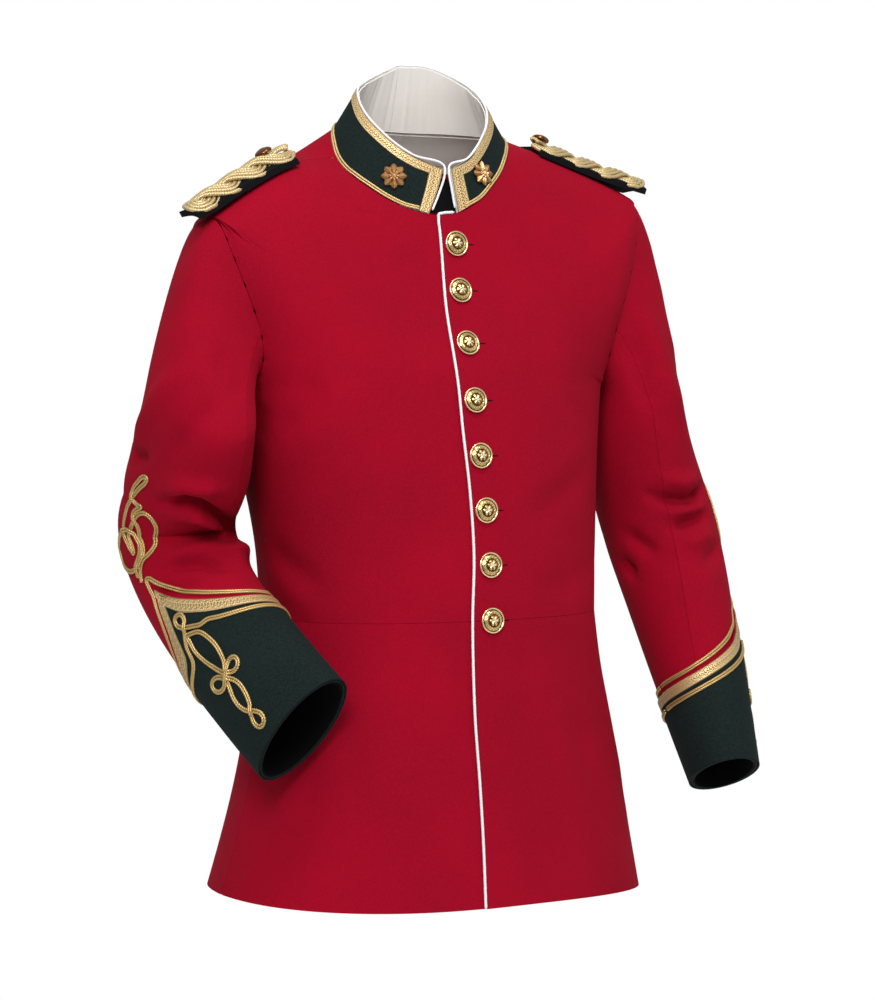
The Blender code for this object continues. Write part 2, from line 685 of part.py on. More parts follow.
def collar_lace(name, side, material):
    """Lace along the rim and, round a mitred corner, down the front end."""
    grid, normals = collar_grid(side)
    rows, columns = grid.shape[0] - 1, grid.shape[1] - 1
    slant = np.linalg.norm(grid[0, 3] - grid[-1, 3]) / rows
    first_gap = np.linalg.norm(grid[0, 1] - grid[0, 0])
    drop = COLLAR_LACE / slant
    inset = COLLAR_LACE_FRONT / first_gap
    backs = [columns - GAP / 2 / first_gap] + [k for k in range(columns - 1, 0, -1) if k > inset + 0.2]
    rim = [(LACE_MARGIN / slant, b) for b in backs] + [(LACE_MARGIN / slant, LACE_MARGIN / first_gap)]
    below = [(drop, b) for b in backs] + [(drop, inset)]
    for row in range(1, rows + 1):
        rim.append((row, LACE_MARGIN / first_gap))
        below.append((row, inset))
    first, second = surface_pairs(grid, normals, rim), surface_pairs(grid, normals, below)
    if side == "left":
        first, second = second, first
    return ribbon(name, second, first, [LACE_LIFT] * len(rim), LACE_THICK, material)


def collar_piping(name, material):
    """White piping up the right front end, round the rim and down the left front end."""
    centres, ups, outs = [], [], []
    for side in ("right", "left"):
        grid, normals = collar_grid(side)
        middle = grid - normals * (MELTON / 2)
        rows, columns = grid.shape[0] - 1, grid.shape[1] - 1
        part = []
        for row in range(rows, -1, -1):
            away = grid[row, 0] - grid[row, 1]
            end = unit(grid[0, 0] - grid[rows, 0])
            away = unit(away - end * away.dot(end))
            part.append((middle[row, 0] + away * (PIPING + 2 * GAP), away, normals[row, 0]))
        rise = unit(grid[0, 0] - grid[1, 0])
        away = unit(grid[0, 0] - grid[0, 1])
        part[0] = (part[0][0] + rise * PIPING_FOOT, away, normals[rows, 0])
        part[-1] = (part[-1][0] - rise * PIPING / 2, away, normals[0, 0])
        corner = unit(rise + away)
        part.append((middle[0, 0] + corner * (PIPING + 2 * GAP), corner, normals[0, 0]))
        for column in range(1, columns + 1):
            rise = unit(grid[0, column] - grid[1, column])
            part.append((middle[0, column] + rise * (PIPING + 2 * GAP), rise, normals[0, column]))
        if side == "left":
            part = part[-2::-1]
        centres += [p for p, a, n in part]
        ups += [a for p, a, n in part]
        outs += [n for p, a, n in part]
    return sweep(name, centres, outs, ups, round_profile(PIPING, PIPING_SIDES), material)


def collar_braid(name, material):
    """Double gold braid over the collar's foot seam, from one front end to the other."""
    width, thick = BASE_BRAID
    centres, outs, ups = [], [], []
    for side in ("right", "left"):
        grid, normals = collar_grid(side)
        part = []
        for column in range(grid.shape[1]):
            rise = unit(grid[0, column] - grid[-1, column])
            foot = grid[-1, column] + rise * width
            part.append((foot + normals[-1, column] * (LACE_LIFT + thick / 2), normals[-1, column], rise))
        start, normal, rise = part[0]
        part[0] = (start + unit(part[1][0] - start) * (COLLAR_LACE_FRONT + BRAID_CLEAR), normal, rise)
        if side == "left":
            part = part[-2::-1]
        centres += [p for p, n, u in part]
        outs += [n for p, n, u in part]
        ups += [u for p, n, u in part]
    profile = [(-thick / 2, -width / 2), (-thick / 2, width / 2), (thick / 4, width / 2), (thick / 2, 0),
               (thick / 4, -width / 2)]
    return sweep(name, centres, outs, ups, profile[::-1], material)


def collar_tongue(name, material):
    """Black underlap behind the opening between the collar's front ends."""
    depth = MELTON + GAP + LINING + 1.0
    grid = np.array([[collar_point(turn, height) for turn in TONGUE_TURNS] for height in TONGUE_HEIGHTS])
    normals = grid_normals(grid, closed=False)
    return wall(name, grid - normals * depth, grid - normals * (depth + LINING), material)


def neck_lining(name, material):
    """Cream lining inside the back, below the collar."""
    turns = [360 - t for t in neck_turns("back")[:-1]][::-1] + neck_turns("back")
    turns = [t for t in sorted(set(turns)) if 95 < t < 265]
    grid = np.array([[body_point(t, station) for t in turns] for station in NECK_LINING_STATIONS])
    normals = np.array([[body_normal(t, station) for t in turns] for station in NECK_LINING_STATIONS])
    depth = MELTON + GAP
    return wall(name, grid - normals * depth, grid - normals * (depth + LINING), material)


def badge(name, side, material):
    """A plain rosette of eight leaves round a boss, one on each side of the collar."""
    turn = BADGE_TURNS[side]
    centre, above = collar_point(turn, BADGE_HEIGHT), collar_point(turn, BADGE_HEIGHT + 0.2)
    beside = collar_point(turn + 4, BADGE_HEIGHT)
    up = unit(above - centre)
    across = unit(beside - centre)
    normal = unit(np.cross(across, up))
    across = np.cross(up, normal)
    points = [centre + normal * BADGE_LIFT]
    rings = ((1.0, BADGE_LIFT), (1.0, BADGE_LIFT + 1.0), (0.55, BADGE_LIFT + 2.0), (0.3, BADGE_LIFT + 2.2))
    for scale, height in rings:
        for k in range(2 * BADGE_LEAVES):
            a = math.pi * k / BADGE_LEAVES
            reach = scale * (BADGE_RADIUS if k % 2 == 0 or scale < 0.5 else BADGE_WAIST)
            points.append(centre + normal * height + (across * math.cos(a) + up * math.sin(a)) * reach)
    points.append(centre + normal * (BADGE_LIFT + 3.2))
    count = 2 * BADGE_LEAVES
    faces = []
    for k in range(count):
        following = (k + 1) % count
        faces.append((0, 1 + following, 1 + k))
        for ring in range(len(rings) - 1):
            a, b = 1 + ring * count + k, 1 + ring * count + following
            faces.append((a, b, b + count))
            faces.append((a, b + count, a + count))
        faces.append((len(points) - 1, 1 + (len(rings) - 1) * count + k, 1 + (len(rings) - 1) * count + following))
    return make_object(name, points, faces, material)


# ---------------------------------------------------------------- front piping, buttons, shoulder cords


def left_front():
    """Points and normals of the whole left front, bodice and skirt, with the stations of its rows at the edge."""
    rows = BODICE_ROWS + SKIRT_ROWS[1:]
    grid, normals = panel_grid("front", "left", rows)
    return grid, normals, [row[0] for row in rows]


def front_piping(name, material):
    """White piping along the neck corner and the edge of the left front, from the collar to the hem."""
    grid, normals, stations = left_front()
    out = PIPING + GAP
    path = []
    for column in (1, 0):
        rise = unit(grid[0, column] - grid[1, column])
        point = grid[0, column]
        if column == 1:
            point = point + (grid[0, 2] - point) * NECK_PIPING_START
        else:
            point = point + unit(grid[0, 1] - point) * PIPING
        path.append((point + rise * out, rise, normals[0, column]))
    for row in range(len(stations)):
        away = unit(grid[row, 0] - grid[row, 1])
        path.append((grid[row, 0] + away * out, away, normals[row, 0]))
    rise = path[1][1]
    point, away, normal = path[2]
    path[2] = (point + unit(grid[1, 0] - grid[0, 0]) * PIPING, away, normal)
    path.insert(2, (grid[0, 0] + unit(away + rise) * out, unit(away + rise), normal))
    centres = [p - n * (PIPING / 3) for p, a, n in path]
    return sweep(name, centres, [n for p, a, n in path], [a for p, a, n in path],
                 round_profile(PIPING, PIPING_SIDES), material)


def coat_button(name, station, material):
    """A domed button on the middle of the lap."""
    grid, normals, stations = left_front()
    row = float(np.interp(station, stations, range(len(stations))))
    point, normal = surface_pairs(grid, normals, [(row, 1.0)])[0]
    return turned(name, point + normal * BUTTON_LIFT, normal, COAT_BUTTON, BUTTON_SIDES, material)


def strap_rows(side):
    """Rows of points and normals across the shoulder strap, from its inner end outward."""
    sign = SIDES[side]
    grid = []
    for station in STRAP_STATIONS[side]:
        row = body_row(station)
        line = []
        for across in STRAP_ACROSS:
            y = across * STRAP_HALF_WIDTH + STRAP_BACK
            reach = row["front"] + row["side_y"] if y < 0 else row["back"] - row["side_y"]
            lean = math.degrees(math.asin(y / reach))
            line.append(body_point(sign * (SHOULDER_TURN + lean), station))
        grid.append(line)
    onward = unit(grid[-1][2] - grid[0][2])
    last = np.array(grid[-1])
    grid += [last + onward * length for length in STRAP_BEYOND[side]]
    grid = np.array(grid)
    normals = np.empty_like(grid)
    normals[:] = unit(np.cross(onward, (0.0, 1.0, 0.0)) * -sign)
    if normals[0, 0, 2] < 0:
        normals = -normals
    rises = STRAP_RISE * (np.arange(len(grid)) / (len(grid) - 1)) ** 2
    return grid + normals * rises[:, None, None], normals


def strap_wall(name, side, outer, inner, material):
    if side == "right":
        outer, inner = outer[:, ::-1], inner[:, ::-1]
    return wall(name, outer, inner, material)


def shoulder_backing(name, side, material):
    """Black padded backing of the shoulder cord."""
    grid, normals = strap_rows(side)
    return strap_wall(name, side, grid + normals * (STRAP_LIFT[side] + BACKING_THICK), grid + normals * STRAP_LIFT[side],
                      material)


def shoulder_cord(name, side, material):
    """Plaited gold cord: a raised band with a lobe at each crossing of the plait."""
    grid, normals = strap_rows(side)
    count = grid.shape[0] - 1
    low = STRAP_LIFT[side] + BACKING_THICK + CORD_SEAT
    outer, inner = [], []
    for k in range(CORD_ROWS + 1):
        swell = abs(math.sin(math.pi * CORD_LOBES * k / CORD_ROWS))
        edge = CORD_EDGE + LOBE_DEPTH * (1 - swell)
        place = 0.04 + (count - 0.04) * k / CORD_ROWS
        columns = (edge, 1, 2, 3, 4 - edge)
        pairs = surface_pairs(grid, normals, [(place, column) for column in columns])
        crowns = [CORD_THICK * share * (0.78 + 0.22 * swell) for share in (0.35, 0.85, 1.0, 0.85, 0.35)]
        inner.append([p + n * low for p, n in pairs])
        outer.append([p + n * (low + crown) for (p, n), crown in zip(pairs, crowns)])
    return strap_wall(name, side, np.array(outer), np.array(inner), material)


def shoulder_button(name, side, material):
    grid, normals = strap_rows(side)
    (point, normal), = surface_pairs(grid, normals, [(SHOULDER_BUTTON_PLACE[side], 2)])
    lift = STRAP_LIFT[side] + BACKING_THICK + CORD_SEAT + CORD_THICK + GAP
    return turned(name, point + normal * lift, normal, SMALL_BUTTON, BUTTON_SIDES, material)


# ---------------------------------------------------------------- cuffs


def cuff_line(side, angle, below=0.0):
    """Height over the mouth of the line that runs this far below the cuff's top braid."""
    ahead = (CUFF_PEAK[side] - angle + 180) % 360 - 180
    spread = CUFF_SPREAD[side] if ahead > 0 else CUFF_BACK_SPREAD
    reach = max(0.0, 1 - abs(ahead) / spread)
    rise = CUFF_POINT - CUFF_LEVEL[side]
    slope = rise * CUFF_SHARPNESS * reach ** (CUFF_SHARPNESS - 1) / spread / ARC
    return CUFF_LEVEL[side] + rise * reach ** CUFF_SHARPNESS - below * min(math.hypot(1, slope), STEEPEST)


def sleeve_at(side, angle, up):
    """Point and normal of the sleeve's outer face at an angle and a height over the mouth."""
    grid, normals, from_mouth = sleeve_surface(side)
    row = float(np.interp(up, from_mouth[::-1], range(len(from_mouth) - 1, -1, -1)))
    column = ((90.0 - angle) * SLEEVE_ROUND / 360.0) % SLEEVE_ROUND
    wrapped = np.concatenate([grid, grid[:, :1]], axis=1), np.concatenate([normals, normals[:, :1]], axis=1)
    return surface_pairs(wrapped[0], wrapped[1], [(row, column)])[0]


def sleeve_band(side, lines, lift):
    """Rows of points at this lift over the sleeve, each row a height for every column."""
    rows = []
    for line in lines:
        row = []
        for column in range(SLEEVE_ROUND):
            point, normal = sleeve_at(side, sleeve_angle(column), line(sleeve_angle(column)))
            row.append(point + normal * lift)
        rows.append(row)
    return np.array(rows)


def tube_wall(name, side, outer, inner, material):
    if side == "left":
        outer, inner = outer[:, ::-1], inner[:, ::-1]
    return wall(name, outer, inner, material, closed=True)


def cuff(name, side, material):
    """Green cuff with its point on the outer side; it covers the end of the sleeve."""
    def line_at(share):
        return lambda angle: cuff_line(side, angle, CUFF_TOP) * share
    lines = [line_at(1 - k / (CUFF_ROWS - 1)) for k in range(CUFF_ROWS)]
    outer = sleeve_band(side, lines, CUFF_LIFT + CUFF_THICK)
    inner = sleeve_band(side, lines, CUFF_LIFT)
    return tube_wall(name, side, outer, inner, material)


def cuff_lining(name, side, material):
    """Black lining inside the mouth."""
    lines = [lambda angle: CUFF_LINING_DEPTH, lambda angle: CUFF_LINING_DEPTH / 2, lambda angle: 0.5]
    outer = sleeve_band(side, lines, -(MELTON + 2 * GAP))
    inner = sleeve_band(side, lines, -(MELTON + 2 * GAP + LINING))
    return tube_wall(name, side, outer, inner, material)


def cuff_lace(name, side, material):
    """Band of gold lace round the cuff, below its top braid."""
    angles = [CUFF_PEAK[side] - 180 + 360 * k / LACE_STEPS for k in range(LACE_STEPS + 1)]
    angles = [angles[0] + 2 * GAP] + angles[1:-1] + [angles[-1] - 2 * GAP]
    edges = [[sleeve_at(side, angle, cuff_line(side, angle, below)) for angle in angles] for below in LACE_EDGES]
    if side == "left":
        edges = edges[::-1]
    lift = CUFF_LIFT + CUFF_THICK + GAP
    return ribbon(name, edges[0], edges[1], [lift + TRIM_SEAT] * len(angles), LACE_THICK, material)


def smooth_path(points, step):
    """Evenly spaced places (angle, up) along the smooth curve through the points."""
    points = np.array(points, float)
    flat = points * (ARC, 1.0)
    lengths = np.append(0, np.cumsum(np.linalg.norm(np.diff(flat, axis=0), axis=1)))
    count = max(8, round(lengths[-1] / step))
    return [(smooth(lengths, points[:, 0], lengths[-1] * k / count),
             smooth(lengths, points[:, 1], lengths[-1] * k / count)) for k in range(count + 1)]


def strand_lifts(places):
    """A strand passes over an earlier part of itself where the two cross, and lies flat between."""
    flat = np.array(places) * (ARC, 1.0)
    lengths = np.append(0, np.cumsum(np.linalg.norm(np.diff(flat, axis=0), axis=1)))
    lifts = []
    for k, place in enumerate(flat):
        others = [np.linalg.norm(flat[earlier] - place) for earlier in range(k)
                  if lengths[k] - lengths[earlier] > BRAID_ASIDE]
        nearest = min(others) if others else BRAID_MEET
        lifts.append((BRAID[1] + GAP) * min(1.0, max(0.0, BRAID_MEET - nearest) / BRAID_SLOPE))
    return lifts


def braid(name, side, places, base, material):
    """Flat double braid laid on the sleeve at this height, along places (angle, up)."""
    width, thick = BRAID
    pairs = [sleeve_at(side, angle, up) for angle, up in places]
    centres = np.array([point + normal * (base + lift)
                        for (point, normal), lift in zip(pairs, strand_lifts(places))])
    ups = [normal for point, normal in pairs]
    across = [unit(np.cross(up, way)) for up, way in zip(ups, np.gradient(centres, axis=0))]
    profile = [(width / 2, 0.0), (0.0, thick), (-width / 2, 0.0)]
    return sweep(name, centres, across, ups, profile, material)


def sleeve_braid(name, side, material):
    """Double braid over the top edge of the cuff."""
    angles = [CUFF_PEAK[side] - 178 + 356 * k / LACE_STEPS for k in range(LACE_STEPS + 1)]
    places = smooth_path([(angle, cuff_line(side, angle) + TOP_BRAID_RISE) for angle in angles], EDGE_STEP)
    return braid(name, side, places, TRIM_SEAT, material)


def cuff_braid(name, side, material):
    """Double braid below the lace, with a small loop at the point."""
    back = [CUFF_PEAK[side] + 178 - EDGE_STEP * k for k in range(22)]
    turned_by = CUFF_PEAK[side] - CUFF_PEAK["right"]
    loop = [(angle + turned_by, up) for angle, up in CORNER_LOOP]
    front = [loop[-1][0] - EDGE_STEP * (k + 1) for k in range(20)]
    places = [(angle, cuff_line(side, angle, LOW_BRAID)) for angle in back if angle > loop[0][0] + 6]
    places += smooth_path(loop, KNOT_STEP)
    places += [(angle, cuff_line(side, angle, LOW_BRAID)) for angle in front]
    return braid(name, side, places, TRIM_BASE, material)


def knot(name, side, points, material):
    base = TRIM_SEAT if points is SLEEVE_KNOT else TRIM_BASE
    turned_by = CUFF_PEAK[side] - CUFF_PEAK["right"]
    places = smooth_path([(angle + turned_by, up) for angle, up in points], KNOT_STEP)
    return braid(name, side, places, base, material)


# ---------------------------------------------------------------- build

def clear_scene():
    for old in list(bpy.data.objects):
        bpy.data.objects.remove(old, do_unlink=True)


def build():
    clear_scene()
    scarlet = make_material("scarlet_melton", (0.39, 0.004, 0.025), 0.85)
    green = make_material("green_facing_cloth", (0.008, 0.028, 0.026), 0.85)
    cream = make_material("cream_cotton_lining", (0.62, 0.58, 0.54), 0.8)
    gold = make_material("gold_wire_lace", (0.72, 0.48, 0.16), 0.4, 0.6)
    white = make_material("white_piping_cord", (0.85, 0.85, 0.86), 0.7)
    gilt = make_material("gilt_brass", (0.85, 0.62, 0.28), 0.25, 1.0)
    black = make_material("black_cotton_lining", (0.01, 0.01, 0.012), 0.8)
    padding = make_material("black_strap_cloth", (0.015, 0.015, 0.02), 0.9)
    for side in SIDES:
        for half in ("front", "back"):
            body_panel(half + "_" + side, half, side, BODICE_ROWS, scarlet)
            body_panel("skirt_" + half + "_" + side, half, side, SKIRT_ROWS, scarlet)
        sleeve_panel("top_sleeve_" + side, side, BACK_SEAM, FRONT_SEAM + SLEEVE_ROUND, scarlet)
        sleeve_panel("under_sleeve_" + side, side, FRONT_SEAM, BACK_SEAM, scarlet)
        collar_piece("collar_" + side, side, 0.0, MELTON, green)
        collar_piece("collar_lining_" + side, side, MELTON + GAP, LINING, cream)
        collar_lace("collar_lace_" + side, side, gold)
        badge("collar_badge_" + side, side, gilt)
        shoulder_backing("shoulder_backing_" + side, side, padding)
        shoulder_cord("shoulder_cord_" + side, side, gold)
        shoulder_button("shoulder_button_" + side, side, gilt)
        cuff("cuff_" + side, side, green)
        cuff_lining("cuff_lining_" + side, side, black)
        cuff_lace("cuff_lace_" + side, side, gold)
        sleeve_braid("sleeve_braid_" + side, side, gold)
        knot("sleeve_knot_" + side, side, SLEEVE_KNOT, gold)
        cuff_braid("cuff_braid_" + side, side, gold)
        knot("cuff_knot_" + side, side, CUFF_KNOT, gold)
    collar_tongue("collar_tongue", black)
    neck_lining("back_neck_lining", cream)
    collar_piping("collar_piping", white)
    collar_braid("collar_braid", gold)
    front_piping("front_piping", white)
    for k in range(BUTTON_COUNT):
        station = FIRST_BUTTON + (LAST_BUTTON - FIRST_BUTTON) * k / (BUTTON_COUNT - 1)
        coat_button("button_%d" % (k + 1), station, gilt)


build()
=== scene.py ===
"""A military dress tunic of scarlet wool, worn and hollow, with green collar and cuffs and gold trim."""
import math

import bmesh
import bpy
import numpy as np
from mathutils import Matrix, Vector, kdtree
from mathutils.bvhtree import BVHTree


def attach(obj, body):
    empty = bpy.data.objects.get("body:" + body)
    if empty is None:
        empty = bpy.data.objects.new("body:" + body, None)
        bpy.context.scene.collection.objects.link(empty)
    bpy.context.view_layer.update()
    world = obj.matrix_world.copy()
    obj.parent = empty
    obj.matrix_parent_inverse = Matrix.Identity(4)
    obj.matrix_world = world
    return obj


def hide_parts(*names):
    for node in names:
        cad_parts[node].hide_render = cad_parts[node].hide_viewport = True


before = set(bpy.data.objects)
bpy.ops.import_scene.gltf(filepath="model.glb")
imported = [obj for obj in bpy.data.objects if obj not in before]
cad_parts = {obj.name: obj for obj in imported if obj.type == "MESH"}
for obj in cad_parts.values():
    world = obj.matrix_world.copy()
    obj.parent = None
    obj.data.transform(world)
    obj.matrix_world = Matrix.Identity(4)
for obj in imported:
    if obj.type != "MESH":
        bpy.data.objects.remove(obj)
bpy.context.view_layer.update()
MM = 0.001

# ---------------------------------------------------------------- camera
# A standing portrait frame on a 90 mm lens, level with the chest and a little to the wearer's right of the front.
FOCAL = 90.0
SENSOR = 36.0
CAMERA_PLACE = Vector((-1.2120, -2.1865, -0.2600))
CAMERA_HEADING = math.radians(-29.0 - 0.33)
CAMERA_DOWN = math.radians(2.29)
lens = bpy.data.cameras.new("camera")
lens.sensor_fit = "VERTICAL"
lens.sensor_height = SENSOR
lens.lens = FOCAL
camera = bpy.data.objects.new("camera", lens)
bpy.context.scene.collection.objects.link(camera)
camera.location = CAMERA_PLACE
camera.rotation_euler = (math.radians(90.0) - CAMERA_DOWN, 0.0, CAMERA_HEADING)
bpy.context.scene.camera = camera

# ---------------------------------------------------------------- studio
# A white room: a pale floor well below the garment, one large soft light ahead and to the left, a weak fill, and a
# small one above the front that reaches into the collar.
FLOOR_LEVEL = -1.7
FLOOR_HALF = 1.9
FLOOR_TONES = ("EFEFEF", "F5F5F5")
# Each light: its place, its size across and its power
KEY = ((-1.9, -2.7, 1.3), 1.1, 68.0)
FILL = ((2.4, -2.2, 0.2), 2.2, 12.0)
TOP = ((-0.3, -1.0, 1.6), 0.6, 16.0)
LIGHTS_AIM = Vector((0, 0, -0.35))
ROOM_LIGHT = 0.36
ROOM_RISE = (0.5, 1.75)         # the room's light comes from below and from above by these parts of that
bpy.context.scene.view_settings.view_transform = "Standard"
bpy.context.scene.view_settings.look = "None"


def linear(hex_colour):
    """Linear colour of an sRGB hex string."""
    parts = [int(hex_colour[k:k + 2], 16) / 255 for k in (0, 2, 4)]
    return (*[c / 12.92 if c <= 0.04045 else ((c + 0.055) / 1.055) ** 2.4 for c in parts], 1.0)


def set_inputs(tree, node, inputs):
    """Each input is a value or the socket that feeds it; one named _2 is the input with that number."""
    for name, value in inputs.items():
        socket = node.inputs[int(name[1:])] if name[0] == "_" else node.inputs[name.replace("_", " ")]
        if isinstance(value, bpy.types.NodeSocket):
            tree.links.new(value, socket)
        else:
            socket.default_value = value


def add_node(tree, kind, settings=None, **inputs):
    """A shader node; settings are its own fields."""
    made = tree.nodes.new(kind)
    for name, value in (settings or {}).items():
        setattr(made, name, value)
    set_inputs(tree, made, inputs)
    return made


class Paint:
    """A new material and its tones, with short ways to the nodes that the materials share."""

    def __init__(self, name, tones):
        self.material = bpy.data.materials.new(name)
        self.material.use_nodes = True
        self.tree = self.material.node_tree
        self.tones = [linear(tone) for tone in tones]
        self.place = add_node(self.tree, "ShaderNodeTexCoord").outputs["Object"]

    def noise(self, scale, **inputs):
        return add_node(self.tree, "ShaderNodeTexNoise", Vector=self.place, Scale=scale, **inputs).outputs["Fac"]

    def calc(self, operation, *values):
        inputs = {"_%d" % k: value for k, value in enumerate(values)}
        return add_node(self.tree, "ShaderNodeMath", {"operation": operation}, **inputs).outputs[0]

    def ranged(self, value, low=0.0, high=1.0, start=0.0, end=1.0):
        """What lies between low and high, drawn out to lie between start and end."""
        return add_node(self.tree, "ShaderNodeMapRange", Value=value, From_Min=low, From_Max=high, To_Min=start,
                        To_Max=end).outputs[0]

    def mix(self, share, first, second):
        return add_node(self.tree, "ShaderNodeMix", {"data_type": "RGBA"}, _0=share, _6=first, _7=second).outputs[2]

    def along(self):
        """Length along a cord or band in metres, and the part of the way round or across it."""
        uv = add_node(self.tree, "ShaderNodeUVMap", {"uv_map": "along"}).outputs[0]
        return add_node(self.tree, "ShaderNodeSeparateXYZ", Vector=uv).outputs[:2]

    def slant(self, pitch):
        """Part of a turn round a cord whose twist goes round once in this many millimetres."""
        length, around = self.along()
        return self.calc("SUBTRACT", around, self.calc("DIVIDE", length, pitch * MM))

    def done(self, colour, bump=None, **inputs):
        """The finished material; its bump is a height, a strength and a depth in millimetres."""
        if bump:
            inputs["Normal"] = add_node(self.tree, "ShaderNodeBump", Height=bump[0], Strength=bump[1],
                                        Distance=bump[2] * MM).outputs[0]
        set_inputs(self.tree, self.tree.nodes["Principled BSDF"], {"Base_Color": colour, **inputs})
        return self.material


bpy.ops.object.select_all(action="DESELECT")
bpy.ops.mesh.primitive_plane_add(size=2 * FLOOR_HALF, location=(0, 0, FLOOR_LEVEL))
floor = bpy.context.object
floor.name = "floor"
pale = Paint("pale_painted_floor", FLOOR_TONES)
floor.data.materials.append(pale.done(pale.mix(pale.noise(3.0), *pale.tones), Roughness=0.8))

world = bpy.data.worlds.new("studio")
world.use_nodes = True
bpy.context.scene.world = world
room = world.node_tree
room.nodes.clear()
seen = add_node(room, "ShaderNodeLightPath").outputs["Is Camera Ray"]
heading = add_node(room, "ShaderNodeTexCoord").outputs["Generated"]
height = add_node(room, "ShaderNodeSeparateXYZ", Vector=heading).outputs["Z"]
rise = add_node(room, "ShaderNodeMapRange", Value=height, From_Min=-0.6, From_Max=0.6, To_Min=ROOM_RISE[0],
                To_Max=ROOM_RISE[1])
wall_light = add_node(room, "ShaderNodeMath", {"operation": "MULTIPLY"}, _0=rise.outputs[0], _1=ROOM_LIGHT)
lit = add_node(room, "ShaderNodeBackground", Color=(1, 1, 1, 1), Strength=wall_light.outputs[0])
white = add_node(room, "ShaderNodeBackground", Color=(1, 1, 1, 1), Strength=1.0)
choice = add_node(room, "ShaderNodeMixShader", _0=seen, _1=lit.outputs[0], _2=white.outputs[0])
add_node(room, "ShaderNodeOutputWorld", Surface=choice.outputs[0])

for name, (place, size, power) in (("key_light", KEY), ("fill_light", FILL), ("top_light", TOP)):
    lamp = bpy.data.lights.new(name, "AREA")
    lamp.size = size
    lamp.energy = power
    light = bpy.data.objects.new(name, lamp)
    bpy.context.scene.collection.objects.link(light)
    light.location = place
    light.rotation_euler = (LIGHTS_AIM - Vector(place)).to_track_quat("-Z", "Y").to_euler()

# ---------------------------------------------------------------- scarlet body
# Eight panels of milled melton wool, lapped at the front and seamed at the sides, waist and middle of the back.
# Each is a copy of its solid, subdivided, with the soft drapes of the worn cloth pressed into it.
SIDES = ("left", "right")
BODY_PANELS = ("front", "back", "skirt_front", "skirt_back")
BODY_LEVELS = 3
CREASE_ANGLE = 48.0             # edges sharper than this stay crisp
SCARLET = ("96001E", "82001A", "AC0326")
AXIS = (8 * MM, 6 * MM)         # where the garment's upright axis stands
DRAPE_DEPTH = 1.5               # worn this long, the drapes have set deeper by this much
FOLD_ENDS = 0.3                 # a drape or fold dies out over this part of its length at each end
FOLD_LEAST = 0.25               # to this part of its height
SEAM_DITCH = (1.1, 2.4)         # depth and reach of the dip along a seam, in millimetres
SEAM_GAP = 0.8                  # edges this near each other are sewn together
SEAM_STEP = 2.5
SEAM_REACH = 26.0               # points of a seam this near each other are next to each other
LAPPED = ({"front_left", "front_right"}, {"skirt_front_left", "skirt_front_right"})     # and not sewn
# Each drape: its points in millimetres, its height over the cloth (a trough is below nought) and its reach
BODY_DRAPES = (
    (((-190, -26, -260), (-189, -9, -298)), -3.0, 13),
    (((-142, -74, -241), (-166, -59, -279), (-181, -36, -298)), -2.6, 15),
    (((-120, -88, -232), (-146, -78, -280), (-168, -60, -318)), 1.6, 16),
    (((-177, 3, -400), (-171, -26, -413), (-161, -49, -427), (-149, -66, -440)), -2.4, 11),
    (((-178, 0, -428), (-168, -36, -446), (-150, -70, -462)), 1.6, 12),
    (((141, -80, -330), (99, -100, -358), (58, -110, -377)), -2.0, 13),
    (((150, -72, -300), (110, -98, -322), (62, -106, -340)), 1.2, 15),
    (((160, -60, -420), (120, -92, -436), (74, -108, -446)), -1.6, 12),
    (((-18, -124, -547), (-41, -127, -603), (-55, -133, -687)), -1.6, 17),
    (((-96, -112, -500), (-112, -112, -580), (-122, -116, -680)), 1.8, 22),
    (((60, -122, -500), (80, -120, -560), (104, -118, -620)), 1.6, 18),
    (((87, -119, -554), (127, -111, -616), (153, -108, -679)), -2.4, 19),
    (((150, -84, -520), (176, -76, -590), (196, -66, -670)), 1.8, 20),
    (((-190, -30, -520), (-200, -30, -600), (-206, -30, -690)), -1.8, 20),
    (((185, 60, -275), (160, 95, -300), (120, 118, -315)), -2.6, 13),
    (((-185, 55, -280), (-165, 88, -312), (-130, 110, -330)), -2.8, 14),
    (((-172, 66, -330), (-150, 90, -352), (-112, 114, -366)), 1.6, 14),
    (((-60, 122, -172), (-18, 130, -186), (34, 126, -178)), -1.6, 13),
    (((-120, 104, -376), (-80, 122, -398), (-30, 128, -392)), -2.4, 12),
    (((130, 98, -362), (92, 116, -386), (38, 128, -402)), -2.0, 13),
    (((140, 92, -426), (100, 116, -440), (50, 130, -446)), 1.5, 12),
    (((58, 140, -520), (68, 152, -620), (76, 160, -720)), 2.2, 17),
    (((-88, 134, -530), (-104, 146, -630), (-112, 152, -720)), 2.4, 19),
    (((-30, 146, -540), (-36, 158, -630), (-40, 166, -715)), -2.0, 17),
    (((130, 116, -540), (150, 122, -630), (160, 126, -710)), -2.2, 18),
)


